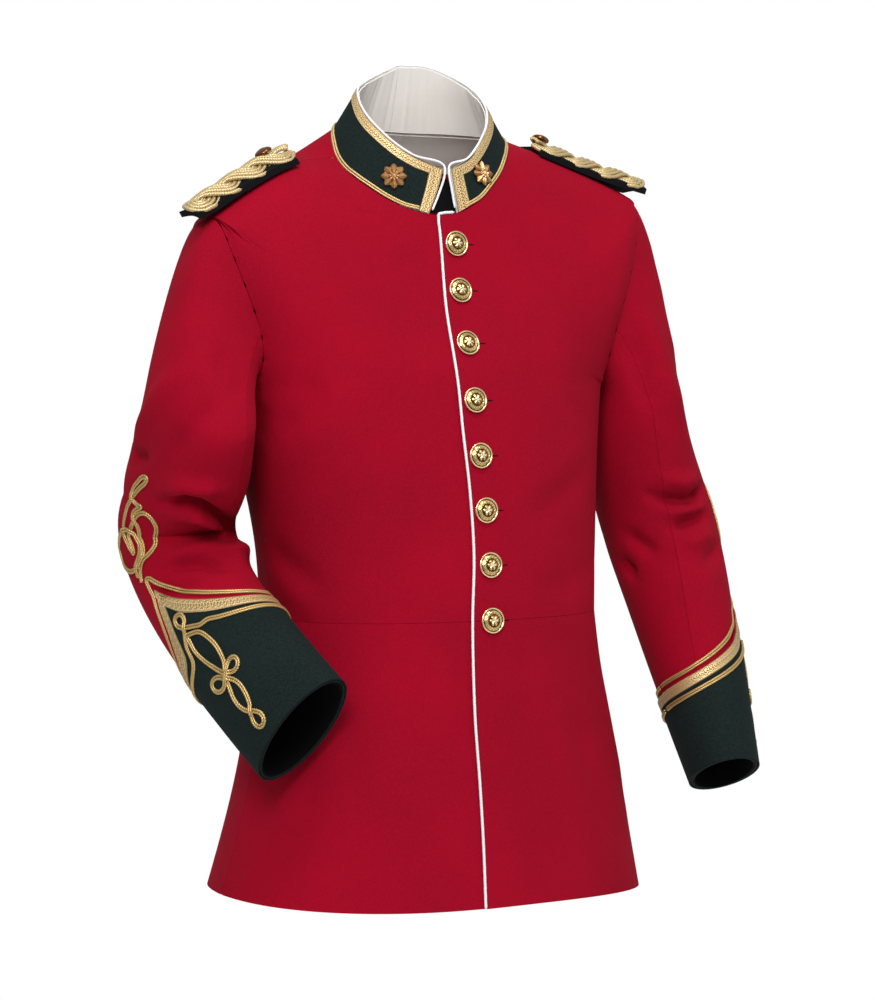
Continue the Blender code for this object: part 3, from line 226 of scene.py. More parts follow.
def along_folds(points, folds):
    """How far each point (metres) moves outward: each fold is soft across and dies out toward its ends."""
    spots = points / MM
    total = np.zeros(len(spots))
    for line, depth, reach in folds:
        line = np.array(line, float)
        steps = np.linalg.norm(np.diff(line, axis=0), axis=1)
        starts = np.append(0, np.cumsum(steps))
        best = np.full(len(spots), 1e9)
        share = np.zeros(len(spots))
        for k in range(len(line) - 1):
            way = (line[k + 1] - line[k]) / steps[k]
            run = np.clip((spots - line[k]) @ way, 0, steps[k])
            apart = np.linalg.norm(spots - line[k] - run[:, None] * way, axis=1)
            nearer = apart < best
            best[nearer] = apart[nearer]
            share[nearer] = (starts[k] + run[nearer]) / starts[-1]
        ends = np.clip(np.minimum(share, 1 - share) / FOLD_ENDS, 0, 1)
        ends = ends * ends * (3 - 2 * ends)
        total += depth * np.exp(-(best / reach) ** 2) * (FOLD_LEAST + (1 - FOLD_LEAST) * ends)
    return total * MM


def surface_of(pieces):
    """A search tree over the faces of pieces."""
    corners, faces = [], []
    for piece in pieces:
        first = len(corners)
        corners += [v.co.copy() for v in piece.data.vertices]
        faces += [[first + k for k in face.vertices] for face in piece.data.polygons]
    return BVHTree.FromPolygons(corners, faces)


def laid_on(folds, tree):
    """The folds with their lines drawn onto a surface."""
    result = []
    for line, depth, reach in folds:
        line = np.array(line, float)
        steps = np.linspace(0, len(line) - 1, 4 * (len(line) - 1) + 1)
        finer = np.stack([np.interp(steps, range(len(line)), line[:, k]) for k in range(3)], axis=1)
        result.append(([tree.find_nearest(Vector(spot) * MM)[0] / MM for spot in finer], depth, reach))
    return result


def from_body_axis(points):
    """Level direction away from the garment's upright axis at each point."""
    away = points - np.array((*AXIS, 0.0))
    away[:, 2] = 0.0
    return away / np.linalg.norm(away, axis=1, keepdims=True)


def points_of(piece):
    flat = np.empty(3 * len(piece.data.vertices))
    piece.data.vertices.foreach_get("co", flat)
    return flat.reshape(-1, 3)


def set_points(piece, points):
    piece.data.vertices.foreach_set("co", np.asarray(points, float).ravel())
    piece.data.update()


def make_active(piece):
    bpy.ops.object.select_all(action="DESELECT")
    piece.select_set(True)
    bpy.context.view_layer.objects.active = piece


def cloth_copy(node, levels, ending="_cloth"):
    """A clean copy of one of the frame's nodes: doubles merged, quads, edges kept crisp, subdivided."""
    piece = bpy.data.objects.new(node + ending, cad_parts[node].data.copy())
    bpy.context.scene.collection.objects.link(piece)
    piece.data.materials.clear()
    make_active(piece)
    bpy.ops.object.mode_set(mode="EDIT")
    bpy.ops.mesh.select_all(action="SELECT")
    bpy.ops.mesh.remove_doubles(threshold=0.01 * MM)
    bpy.ops.mesh.normals_make_consistent(inside=False)
    bpy.ops.mesh.tris_convert_to_quads(face_threshold=math.radians(60), shape_threshold=math.radians(80))
    bpy.ops.mesh.select_all(action="DESELECT")
    bpy.ops.mesh.select_mode(type="EDGE")
    bpy.ops.mesh.edges_select_sharp(sharpness=math.radians(CREASE_ANGLE))
    bpy.ops.transform.edge_crease(value=1.0)
    bpy.ops.object.mode_set(mode="OBJECT")
    bpy.ops.mesh.customdata_custom_splitnormals_clear()
    bpy.ops.object.modifier_add(type="SUBSURF")
    subsurf = piece.modifiers[-1]
    subsurf.levels = levels
    subsurf.render_levels = levels
    bpy.ops.object.modifier_apply(modifier=subsurf.name)
    bpy.ops.object.shade_smooth_by_angle(angle=math.radians(45))
    return piece


def cloth_copies(panels, levels):
    return {panel + "_" + side: cloth_copy(panel + "_" + side, levels) for side in SIDES for panel in panels}


def dressed(piece, node, slot_name, *materials):
    """The piece in its materials, on the tunic's one body, in place of one of the frame's nodes."""
    for material in materials:
        piece.data.materials.append(material)
    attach(piece, "root")
    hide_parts(node)
    return piece


def node_points(node):
    return np.array([v.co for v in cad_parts[node].data.vertices])


def tree_of(spots):
    """A search tree over points."""
    tree = kdtree.KDTree(len(spots))
    for k, spot in enumerate(spots):
        tree.insert(spot, k)
    tree.balance()
    return tree


def seam_line():
    """Points of every seam: where an edge of one scarlet panel lies against an edge of another."""
    nodes = [panel + "_" + side for side in SIDES for panel in (*BODY_PANELS, "top_sleeve", "under_sleeve")]
    owners, spots = zip(*[(node, point) for node in nodes for point in node_points(node)])
    tree = tree_of(spots)
    found = []
    for owner, point in zip(owners, spots):
        pairs = [{owner, owners[other]} for place, other, apart in tree.find_range(point, SEAM_GAP * MM)]
        if any(len(pair) == 2 and pair not in LAPPED for pair in pairs):
            found.append(point)
    return found


def dense(points, step):
    """The seams' points with more between those that are near each other."""
    tree = tree_of(points)
    result = list(points)
    for k, point in enumerate(points):
        for place, other, apart in tree.find_n(point, 7):
            if other > k and step < apart < SEAM_REACH * MM:
                count = int(apart / step)
                result += [point + (points[other] - point) * j / count for j in range(1, count)]
    return result


def seam_dip(points):
    """How far each point sinks into the nearest seam."""
    depth, reach = SEAM_DITCH
    result = np.zeros(len(points))
    for k, point in enumerate(points):
        apart = seams.find(point)[2] / MM
        if apart < 4 * reach:
            result[k] = -depth * math.exp(-(apart / reach) ** 2)
    return result * MM


def melton(name, tones, sheen=0.08):
    """Milled wool: a felted nap of short fibres, matt, with slight clouding of the dye."""
    paint = Paint(name, tones)
    base, dark, light = paint.tones
    nap = paint.noise(620.0, Detail=5.0, Roughness=0.65)
    fibres = paint.noise(1900.0, Detail=2.0)
    ground = paint.mix(paint.ranged(paint.noise(9.0, Detail=3.0), 0.3, 0.7), base, dark)
    colour = paint.mix(paint.calc("MULTIPLY", paint.ranged(nap, 0.32, 0.68), 0.55), ground, light)
    return paint.done(colour, (paint.calc("ADD", nap, fibres), 0.35, 0.5), Roughness=0.92, Specular_IOR_Level=0.12,
                      Sheen_Weight=sheen, Sheen_Roughness=0.45, Sheen_Tint=light)


scarlet = melton("scarlet_melton_wool", SCARLET)
seams = tree_of(dense(seam_line(), SEAM_STEP * MM))
body = cloth_copies(BODY_PANELS, BODY_LEVELS)
body_drapes = laid_on(BODY_DRAPES, surface_of(body.values()))
for node, piece in body.items():
    points = points_of(piece)
    lift = DRAPE_DEPTH * along_folds(points, body_drapes) + seam_dip(points)
    set_points(piece, points + from_body_axis(points) * lift[:, None])
    dressed(piece, node, "scarlet_cloth", scarlet)

# ---------------------------------------------------------------- scarlet sleeves
# Two-piece sleeves of the same melton, bent at the elbow. The cloth breaks into short hard creases inside each
# elbow and into long soft ones on the upper arm; all of them are pressed into copies of the solids.
SLEEVE_PANELS = ("top_sleeve", "under_sleeve")
SLEEVE_LEVELS = 3
FOLD_DEPTH = 2.15               # worn this long, the folds have set deeper by this much
# The middle line of each sleeve, from the shoulder to the cuff's mouth, in millimetres
ARM_LINES = {
    "right": ((-205, 8, -160), (-223, 3, -181), (-245, -21, -230), (-254, -27, -266), (-246, 14, -322),
              (-241, 66, -384), (-233, 25, -447), (-219, -50, -506), (-194, -120, -565)),
    "left": ((208, 8, -145), (226, 6, -165), (242, 3, -220), (250, 2, -262), (263, 6, -322), (287, 4, -392),
             (291, -24, -458), (290, -64, -540), (290, -112, -642)),
}
# Each fold is given as the drapes are
SLEEVE_FOLDS = {
    "right": (
        (((-285, -7, -357), (-280, -21, -355), (-273, -34, -355), (-263, -38, -359), (-252, -36, -364),
          (-233, -23, -372), (-197, 28, -382)), -10.0, 6.5),
        (((-287, -18, -346), (-277, -41, -338), (-262, -54, -341), (-245, -56, -345)), 5.0, 9),
        (((-271, -12, -371), (-255, -27, -370), (-230, -13, -378), (-206, 17, -386)), 5.5, 7),
        (((-280, 10, -423), (-271, -3, -417), (-259, -13, -414), (-248, -22, -414), (-238, -30, -416),
          (-222, -34, -421)), -4.5, 6),
        (((-272, 8, -407), (-258, -5, -402), (-240, -12, -401), (-222, -12, -405), (-206, -2, -408)), 3.6, 9),
        (((-198, 26, -410), (-203, -2, -406), (-215, -18, -408), (-227, -20, -408)), 4.0, 10),
        (((-284, 18, -446), (-270, -8, -440), (-246, -22, -432)), -3.0, 8),
        (((-295, 38, -315), (-297, 11, -315), (-295, -6, -313)), -4.5, 7),
        (((-270, -62, -231), (-285, -44, -244), (-291, -16, -270), (-294, 10, -288), (-294, 35, -308)), 2.6, 13),
        (((-255, -66, -262), (-270, -58, -290), (-283, -34, -316)), -2.4, 11),
        (((-262, -72, -210), (-244, -78, -236), (-226, -74, -262)), -2.0, 12),
        (((-246, 100, -330), (-252, 108, -366), (-250, 112, -404)), 2.0, 14),
        (((-268, 84, -310), (-280, 76, -340), (-284, 62, -372)), -2.6, 11),
        (((-214, 84, -360), (-206, 66, -400), (-200, 40, -436)), -2.6, 11),
        (((-262, -20, -500), (-248, -60, -508), (-226, -84, -500)), -2.0, 10),
    ),
    "left": (
        (((312, -36, -350), (301, -51, -356), (285, -57, -364), (257, -52, -363), (243, -45, -358)), -7.0, 6.5),
        (((300, -54, -340), (276, -60, -346), (252, -58, -342)), 3.4, 8),
        (((305, -55, -380), (283, -60, -384), (262, -56, -392)), -5.5, 6),
        (((306, -56, -368), (284, -62, -373), (258, -58, -376)), 3.0, 6),
        (((310, -60, -398), (290, -68, -404), (266, -66, -412)), 3.2, 8),
        (((322, -50, -412), (306, -72, -420), (286, -80, -428)), -3.0, 8),
        (((230, -44, -157), (245, -50, -198), (256, -58, -239), (277, -57, -291)), 2.6, 13),
        (((214, -46, -190), (226, -52, -232), (240, -54, -276)), -2.4, 11),
        (((292, -46, -220), (306, -34, -262), (314, -18, -304)), -2.4, 13),
        (((239, -4, -427), (243, -28, -442)), -4.5, 8),
        (((236, -14, -396), (240, -34, -408), (250, -52, -420)), -3.0, 8),
        (((320, 26, -330), (336, 16, -366), (340, -4, -404)), 2.2, 14),
        (((290, 60, -330), (306, 58, -372), (316, 42, -416)), -2.6, 11),
        (((262, 56, -300), (256, 50, -350), (258, 34, -400)), -2.2, 12),
        (((330, -60, -470), (318, -90, -500), (296, -106, -512)), -1.8, 11),
    ),
}


def from_arm(points, side):
    """Direction away from the middle line of a sleeve at each point."""
    line = np.array(ARM_LINES[side], float) * MM
    best = np.full(len(points), 1e9)
    nearest = np.zeros_like(points)
    for k in range(len(line) - 1):
        way = line[k + 1] - line[k]
        run = np.clip((points - line[k]) @ way / way.dot(way), 0, 1)
        spot = line[k] + run[:, None] * way
        apart = np.linalg.norm(points - spot, axis=1)
        nearer = apart < best
        best[nearer] = apart[nearer]
        nearest[nearer] = spot[nearer]
    away = points - nearest
    return away / np.linalg.norm(away, axis=1, keepdims=True)


def sleeve_lift(points, side):
    return FOLD_DEPTH * along_folds(points, sleeve_folds[side])


def mouth_of(side):
    """The end of a sleeve's middle line, and the way along it there."""
    before, end = np.array(ARM_LINES[side][-2:], float) * MM
    return end, (end - before) / np.linalg.norm(end - before)


sleeves = cloth_copies(SLEEVE_PANELS, SLEEVE_LEVELS)
sleeve_folds = {side: laid_on(SLEEVE_FOLDS[side], surface_of([sleeves[panel + "_" + side] for panel in SLEEVE_PANELS]))
                for side in SIDES}
for node, piece in sleeves.items():
    side = node.rsplit("_", 1)[1]
    points = points_of(piece)
    lift = sleeve_lift(points, side) + seam_dip(points)
    set_points(piece, points + from_arm(points, side) * lift[:, None])
    dressed(piece, node, "scarlet_cloth", scarlet)

# ---------------------------------------------------------------- green collar and cuffs
# Stand collar in two halves and two pointed cuffs, of dark green facing cloth, finer and smoother than the melton.
# They are copies of their solids; the cuffs take up the folds of the sleeves, and are scarlet above the lace.
GREEN = ("101B1A", "091211", "253433")
COLLAR_LEVELS = 2
CUFF_LEVELS = 3
TOP_DROP = 3.0                  # the cuff's top edge is this much lower under the braid
TOP_FADE = (3.0, 9.0)           # up to this far from the braid, and less and less over this much more
RED_REACH = 13.0                # what is this near the upper braid, and nearer it than the lower one, is scarlet
MOUTH_TURN = 9.0                # the facing is turned in over the end of the sleeve by this much
green = melton("green_facing_wool", GREEN, sheen=0.18)
for node, piece in sleeves.items():
    end, way = mouth_of(node.rsplit("_", 1)[1])
    piece.data.materials.append(green)
    for face in piece.data.polygons:
        if (np.array(face.center) - end).dot(way) > -MOUTH_TURN * MM:
            face.material_index = 1
facings = {}
for side in SIDES:
    node = "collar_" + side
    facings[node] = dressed(cloth_copy(node, COLLAR_LEVELS), node, "green_cloth", green)
    node = "cuff_" + side
    piece = cloth_copy(node, CUFF_LEVELS)
    points = points_of(piece)
    points = points + from_arm(points, side) * sleeve_lift(points, side)[:, None]
    upper, lower = (tree_of(node_points(edge + side)) for edge in ("sleeve_braid_", "cuff_braid_"))
    apart = np.array([upper.find(point)[2] for point in points]) / MM
    drop = TOP_DROP * np.clip(1 - (apart - TOP_FADE[0]) / TOP_FADE[1], 0, 1)
    set_points(piece, points + mouth_of(side)[1] * (drop * MM)[:, None])
    facings[node] = dressed(piece, node, "green_cloth", green, scarlet)
    for face in piece.data.polygons:
        above = upper.find(face.center)[2]
        if above < RED_REACH * MM and above < lower.find(face.center)[2]:
            face.material_index = 1

# ---------------------------------------------------------------- linings
# Cream cotton inside the collar and at the top of the back, black cotton inside the cuffs and behind the opening
# of the collar. That black is near-black and is painted shade for the dark inside the sleeve mouths and behind the
# collar's opening. The cream lining is eased in, so it stands in soft upright wrinkles.
CREAM = ("EAE5DE", "DAD3CA", "F6F2EC")
# near-black: painted shade for the lining deep inside the sleeve mouths and behind the collar's opening
BLACK = ("040405", "020203", "08080A")
WRINKLES = 34
WRINKLE_DEPTH = 1.6
LINING_EASE = 0.8               # the cream lining stands off the wall by this much
LINING_LEVELS = 3
LININGS = {"cream_lining": ("collar_lining_left", "collar_lining_right", "back_neck_lining"),
           "black_lining": ("cuff_lining_left", "cuff_lining_right", "collar_tongue")}


def cotton(name, tones, sheen):
    """Plain-woven cotton, matt: threads 0.3 mm apart, drawn as their slubs, which are a millimetre or so long."""
    paint = Paint(name, tones)
    base, dark, light = paint.tones
    weave = paint.noise(900.0, Detail=4.0, Roughness=0.7)
    ground = paint.mix(paint.noise(38.0, Detail=4.0), dark, base)
    return paint.done(paint.mix(weave, ground, light), (weave, 0.25, 0.2), Roughness=0.9, Specular_IOR_Level=0.12,
                      Sheen_Weight=sheen)


def wrinkle(points, count, depth):
    """Upright wrinkles round the neck, uneven in place and depth."""
    turns = np.arctan2(points[:, 0] - AXIS[0], -points[:, 1])
    generator = np.random.default_rng(11)
    total = np.zeros(len(points))
    for centre, high, wide in zip(generator.uniform(-math.pi, math.pi, count),
                                  generator.uniform(-1.0, 1.0, count), generator.uniform(0.02, 0.06, count)):
        apart = np.abs((turns - centre + math.pi) % (2 * math.pi) - math.pi)
        total += high * np.exp(-(apart / wide) ** 2)
    return total * depth * MM


cream = cotton("cream_cotton_lining", CREAM, 0.1)
# near-black cotton: painted shade inside the sleeve mouths, behind the collar's opening and in the buttonhole slits
black = cotton("black_cotton_lining", BLACK, 0.0)
linings = {}
for node in LININGS["cream_lining"]:
    piece = cloth_copy(node, LINING_LEVELS)
    points = points_of(piece)
    inward = np.minimum(-wrinkle(points, WRINKLES, WRINKLE_DEPTH) - LINING_EASE * MM, 0.0)
    set_points(piece, points + from_body_axis(points) * inward[:, None])
    linings[node] = dressed(piece, node, "cream_lining", cream)
# the near-black linings: painted shade inside the sleeve mouths and behind the collar's opening
for node in LININGS["black_lining"]:
    linings[node] = dressed(cloth_copy(node, LINING_LEVELS), node, "black_lining", black)

# The neck seam is taped with the same cream cotton inside; faces near the lining that look inward take it on
TAPE_REACH = 9.0
BACK_INWARD = -0.15             # a face looks inward if its normal points outward by less than this
COLLAR_INWARD = 0.35
near_tape = tree_of([spot for node in LININGS["cream_lining"] for spot in points_of(linings[node])])
for piece, most in [(body["back_" + side], BACK_INWARD) for side in SIDES] + [
        (facings["collar_" + side], COLLAR_INWARD) for side in SIDES]:
    piece.data.materials.append(cream)
    aways = from_body_axis(np.array([face.center for face in piece.data.polygons]))
    for face, away in zip(piece.data.polygons, aways):
        if np.dot(face.normal, away) < most and near_tape.find(face.center)[2] < TAPE_REACH * MM:
            face.material_index = 1

# ---------------------------------------------------------------- braids and knots
# Flat gold braid made of two cords laid side by side, each twisted from two plies of gilt wire, sewn down along
# its path. The paths are those of the solids; each cord is swept along them and set down on the finished cloth.
CORD_RADIUS = 1.3
CORD_APART = 2.5
CORD_SIDES = 8
CORD_STEP = 0.9
CORD_PITCH = 5.0
CORD_RIBS = 7.0                 # windings of wire that show in one turn of the cord
CORD_HIGH = 0.75                # its middle stands over the cloth by this part of its radius
PLY_DEPTH = 0.2                 # the furrows between the plies, as a part of the radius
CROSSING_LIFT = 2.0             # a strand that crosses another rides this much higher
CROSSING_REACH = 5.6
KNOT_ONWARD = 6.0               # both ends of a cuff knot run on under the braid above
PATH_EASE = 3                   # the path is smoothed over this many steps
SAME_STRAND = 13.0              # strands this near along their own length are one
# tones of the gilt cords: gold, the painted shade of their furrows and the painted highlight of their windings
GOLD = ("D9AE58", "7A4E1C", "FBEBB4")


def corners_and_links(node):
    """Corner points of a node with doubles merged, and the corners next to each."""
    work = bmesh.new()
    work.from_mesh(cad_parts[node].data)
    bmesh.ops.remove_doubles(work, verts=work.verts, dist=0.01 * MM)
    work.verts.index_update()
    points = np.array([v.co for v in work.verts])
    links = [{edge.other_vert(v).index for edge in v.link_edges} for v in work.verts]
    work.free()
    return points, links


def sections(node, sides):
    """Cross-sections of a swept node from one end to the other, each an array of its corners."""
    points, links = corners_and_links(node)
    ends = {k for k, near in enumerate(links) if len(near) < 6}
    ring = {min(ends)}
    while True:
        more = {n for k in ring for n in links[k] if n in ends} | ring
        if len(more) == len(ring):
            break
        ring = more
    for k, near in enumerate(links):
        if len(ring) < sides and ring <= near:
            ring = ring | {k}
    seen, rings = set(ring), [sorted(ring)]
    while True:
        following = {n for k in rings[-1] for n in links[k]} - seen
        if not following:
            break
        seen |= following
        rings.append(sorted(following))
    for ring in rings:
        assert len(ring) == sides, (node, len(ring))
    return [points[ring] for ring in rings]


def lengths_along(rows):
    """Length along a line of points up to each of them."""
    return np.append(0, np.cumsum(np.linalg.norm(np.diff(rows, axis=0), axis=1)))


def through(values, step):
    """Rows of values on the smooth curve through the given rows, evenly spaced along their first three columns."""
    values = np.asarray(values, float)
    lengths = lengths_along(values[:, :3])
    slopes = np.gradient(values, lengths, axis=0)
    count = max(2, int(round(lengths[-1] / step)))
    places = np.linspace(0, lengths[-1], count + 1)
    k = np.clip(np.searchsorted(lengths, places, side="right") - 1, 0, len(lengths) - 2)
    span = (lengths[k + 1] - lengths[k])[:, None]
    t = (places - lengths[k])[:, None] / span
    return ((1 + 2 * t) * (1 - t) ** 2 * values[k] + t * (1 - t) ** 2 * span * slopes[k]
            + t * t * (3 - 2 * t) * values[k + 1] + t * t * (t - 1) * span * slopes[k + 1])


def unit_rows(rows):
    return rows / np.linalg.norm(rows, axis=1, keepdims=True)


def squared(centres, ups):
    """The way along a line at each of its points, and the ups turned square to it."""
    ways = unit_rows(np.gradient(centres, axis=0))
    return ways, unit_rows(ups - ways * np.sum(ups * ways, axis=1, keepdims=True))


RAY_START = 14 * MM             # looks for the cloth start this far outside it
RAY_LENGTH = 2.2 * RAY_START


def height_over(points, outs, tree):
    """Height of each point over a surface, looking inward from well outside it."""
    result = []
    for point, out in zip(points, outs):
        start = Vector(point) + Vector(out) * RAY_START
        hit = tree.ray_cast(start, -Vector(out), RAY_LENGTH)
        result.append(hit[3] - RAY_START if hit[0] is not None else math.nan)
    return np.array(result)


def set_down(points, outs, tree, lifts):
    """Points moved along their outward directions to stand these heights over a surface."""
    heights = height_over(points, outs, tree)
    known = np.isfinite(heights)
    if not known.any():
        return points
    heights = np.interp(np.arange(len(heights)), np.flatnonzero(known), heights[known])
    return points - outs * (heights - lifts)[:, None]


def facing_out(piece):
    make_active(piece)
    bpy.ops.object.mode_set(mode="EDIT")
    bpy.ops.mesh.select_all(action="SELECT")
    bpy.ops.mesh.normals_make_consistent(inside=False)
    bpy.ops.object.mode_set(mode="OBJECT")


def swept_piece(name, points, faces, uvs):
    """A piece from its points and faces, with length along it and the part of the way round or across as UV."""
    mesh = bpy.data.meshes.new(name)
    mesh.from_pydata([tuple(p) for p in points], [], faces)
    mesh.uv_layers.new(name="along").data.foreach_set("uv", [c for uv in uvs for c in uv])
    mesh.shade_smooth()
    piece = bpy.data.objects.new(name, mesh)
    bpy.context.scene.collection.objects.link(piece)
    facing_out(piece)
    return piece


def cord_mesh(name, centres, ups, acrosses, radius, pitch, hand=1, sides=CORD_SIDES, plies=2, depth=PLY_DEPTH):
    """One twisted cord along its centres, rounded off at both ends."""
    count = len(centres)
    lengths = lengths_along(centres)
    points = []
    for k in range(count):
        end = min(1.0, 0.25 + min(lengths[k], lengths[-1] - lengths[k]) / radius)
        for j in range(sides):
            a = 2 * math.pi * j / sides
            twist = plies * (a - hand * 2 * math.pi * lengths[k] / pitch)
            r = radius * (1 - depth / 2 + depth * math.cos(twist)) * min(1.0, math.sqrt(end))
            points.append(centres[k] + acrosses[k] * (r * math.cos(a)) + ups[k] * (r * math.sin(a)))
    faces, uvs = [], []
    for k in range(count - 1):
        for j in range(sides):
            a, b = k * sides + j, k * sides + (j + 1) % sides
            faces.append((a, b, b + sides, a + sides))
            u, v = lengths[k], lengths[k + 1]
            uvs += [(u, j / sides), (u, (j + 1) / sides), (v, (j + 1) / sides), (v, j / sides)]
    faces.append(tuple(range(sides))[::-1])
    faces.append(tuple((count - 1) * sides + j for j in range(sides)))
    uvs += [(0.0, 0.0)] * sides + [(lengths[-1], 0.0)] * sides
    return swept_piece(name, points, faces, uvs)


def joined(pieces, name):
    make_active(pieces[0])
    for piece in pieces[1:]:
        piece.select_set(True)
    if len(pieces) > 1:
        bpy.ops.object.join()
    pieces[0].name = name
    pieces[0].data.name = name
    return pieces[0]


def gilt_wire(name, pitch, rib, metal=0.75, tones=GOLD):
    """Gilt wire wound on thread: fine ribs across the cord, with painted shade darkening the furrows between the plies
    and windings and a painted highlight on each winding.
    """
    paint = Paint(name, tones)
    base, dark, light = paint.tones
    slant = paint.slant(pitch)
    ply = paint.calc("COSINE", paint.calc("MULTIPLY", slant, 4 * math.pi))
    ribs = paint.calc("SINE", paint.calc("MULTIPLY", slant, 2 * math.pi * rib))
    # painted shade along the furrows between the plies, then a painted highlight on the crest of each winding
    ground = paint.mix(paint.ranged(ply, -1.0, 0.4), dark, base)
    colour = paint.mix(paint.ranged(ribs, -0.2, 1.0, end=0.8), ground, light)
    return paint.done(colour, (paint.calc("MULTIPLY_ADD", ribs, 0.3, ply), 0.6, 0.12), Metallic=metal,
                      Roughness=paint.ranged(paint.noise(160.0, Detail=4.0), start=0.32, end=0.5))


def eased(rows, reach):
    """Rows smoothed along their length over this many steps; both ends stay."""
    steps = np.arange(-2 * reach, 2 * reach + 1)
    weights = np.exp(-(steps / reach) ** 2)
    padded = np.concatenate([2 * rows[:1] - rows[2 * reach:0:-1], rows, 2 * rows[-1:] - rows[-2:-2 * reach - 2:-1]])
    return np.stack([np.convolve(padded[:, k], weights / weights.sum(), mode="valid")
                     for k in range(rows.shape[1])], axis=1)


def crossing_lifts(centres):
    """How much higher each place lies where the cord crosses an earlier part of itself."""
    lengths = lengths_along(centres) / MM
    lifts = np.zeros(len(centres))
    for k in range(len(centres)):
        earlier = centres[:k][lengths[:k] < lengths[k] - SAME_STRAND]
        if len(earlier):
            apart = np.linalg.norm(earlier - centres[k], axis=1).min() / MM
            share = max(0.0, 1 - apart / CROSSING_REACH)
            lifts[k] = CROSSING_LIFT * min(1.0, 1.6 * share)
    kernel = np.hanning(7) / np.hanning(7).sum()
    return np.convolve(lifts, kernel, mode="same") * MM


def braid(node, cloths):
    """The double cord along a braid's solid, lying on the finished sleeve and cuff."""
    rows = []
    for ring in sections(node, 3):
        pairs = ((0, 1, 2), (1, 2, 0), (0, 2, 1))
        a, b, c = max(pairs, key=lambda p: np.linalg.norm(ring[p[0]] - ring[p[1]]))
        middle = (ring[a] + ring[b]) / 2
        rows.append((middle, ring[c] - middle))
    centres = np.array([middle for middle, up in rows])
    ups = unit_rows(np.array([up for middle, up in rows]))
    fine = eased(through(np.hstack([centres, ups]), CORD_STEP * MM), PATH_EASE)
    centres, ups = fine[:, :3], unit_rows(fine[:, 3:6])
    if node.startswith("cuff_knot"):
        for end, beside in ((0, 3), (-1, -4)):
            onward = centres[end] - centres[beside]
            onward *= KNOT_ONWARD / 3 * MM / np.linalg.norm(onward)
            extra = centres[end] + onward * np.arange(1, 4)[:, None]
            turned = np.tile(ups[end], (3, 1))
            centres = np.concatenate([extra[::-1], centres] if end == 0 else [centres, extra])
            ups = np.concatenate([turned, ups] if end == 0 else [ups, turned])
    lifts = crossing_lifts(centres) + CORD_HIGH * CORD_RADIUS * MM
    finished = surface_of([cloth_pieces[cloth] for cloth in cloths])
    ways, ups = squared(centres, ups)
    acrosses = np.cross(ups, ways)
    cords = []
    for hand in (1, -1):
        line = set_down(centres + acrosses * (hand * CORD_APART / 2 * MM), ups, finished, lifts)
        cords.append(cord_mesh(node, line, ups, acrosses, CORD_RADIUS * MM, CORD_PITCH * MM, hand))
    return dressed(joined(cords, node + "_cords"), node, "gold_lace", wire)


wire = gilt_wire("gilt_wire_cord", CORD_PITCH, CORD_RIBS)
cloth_pieces = {**body, **sleeves, **facings, **linings}
for side in SIDES:
    for node in ("sleeve_braid_" + side, "sleeve_knot_" + side, "cuff_braid_" + side, "cuff_knot_" + side):
        braid(node, ["top_sleeve_" + side, "under_sleeve_" + side, "cuff_" + side])

# ---------------------------------------------------------------- gold lace
# Flat woven lace of gilt wire, a row of small fans between two plain edges: one band round each cuff, one along
# the rim and down the front ends of each half of the collar.
LACE_STEP = 1.6
LACE_COLUMNS = 12
LACE_THICK = 0.8
LACE_OVER = 0.1                 # its back lies half this far off the cloth
LACE_EDGE = 0.06                # it thins out at its edges over this part of its width
LACE_SWAY = 5.0                 # it follows the cloth up and down no more than this across its width
LACE_NARROWER = 0.14
LACE_FAN = 6.5                  # length of one fan along the lace
LACE_ROWS = 2.0
LACE_BORDER = 0.41              # the plain edge starts this far from the middle, as a part of the width
SHARP_CORNER = 0.6              # the way turns there by more than the angle with this cosine
# gold, painted shade for the low parts of the weave and painted highlight for its high parts
LACE_GOLD = ("D2A654", "5E3A0E", "FFEFC2")


def lace_material(name, tones):
    """Woven lace: ribs of wire that open like fans in alternate rows, and a plain ribbed edge; the dark tone is
    painted shade in the low parts of the weave, the light tone a painted highlight on its high parts.
    """
    paint = Paint(name, tones)
    base, dark, light = paint.tones
    calc = paint.calc
    length, across = paint.along()
    length = calc("DIVIDE", length, LACE_FAN * MM)
    width = calc("MULTIPLY", across, LACE_ROWS)
    shift = calc("MULTIPLY_ADD", calc("FLOOR", width), 0.5, length)
    cell_along = calc("SUBTRACT", calc("FRACT", shift), 0.5)
    cell_across = calc("FRACT", width)
    reach = calc("SQRT", calc("ADD", calc("POWER", calc("MULTIPLY", cell_along, 1.3), 2.0),
                              calc("POWER", cell_across, 2.0)))
    angle = calc("ARCTAN2", cell_along, calc("ADD", cell_across, 0.08))
    spokes = calc("COSINE", calc("MULTIPLY", angle, 14.0))
    hoops = calc("COSINE", calc("MULTIPLY", reach, 16.0))
    border = calc("GREATER_THAN", calc("ABSOLUTE", calc("SUBTRACT", across, 0.5)), LACE_BORDER)
    ribs = calc("COSINE", calc("MULTIPLY", length, 2 * math.pi * 6.0))
    weave = add_node(paint.tree, "ShaderNodeMix", {"data_type": "FLOAT"}, _0=border,
                     _2=calc("MAXIMUM", spokes, hoops), _3=ribs).outputs[0]
    # painted shade where the weave lies low, painted highlight where it stands high
    ground = paint.mix(paint.ranged(weave, -0.7, 0.8), dark, base)
    colour = paint.mix(paint.ranged(weave, 0.4, 1.0, end=0.7), ground, light)
    return paint.done(colour, (weave, 0.7, 0.2), Roughness=0.4, Metallic=0.5)


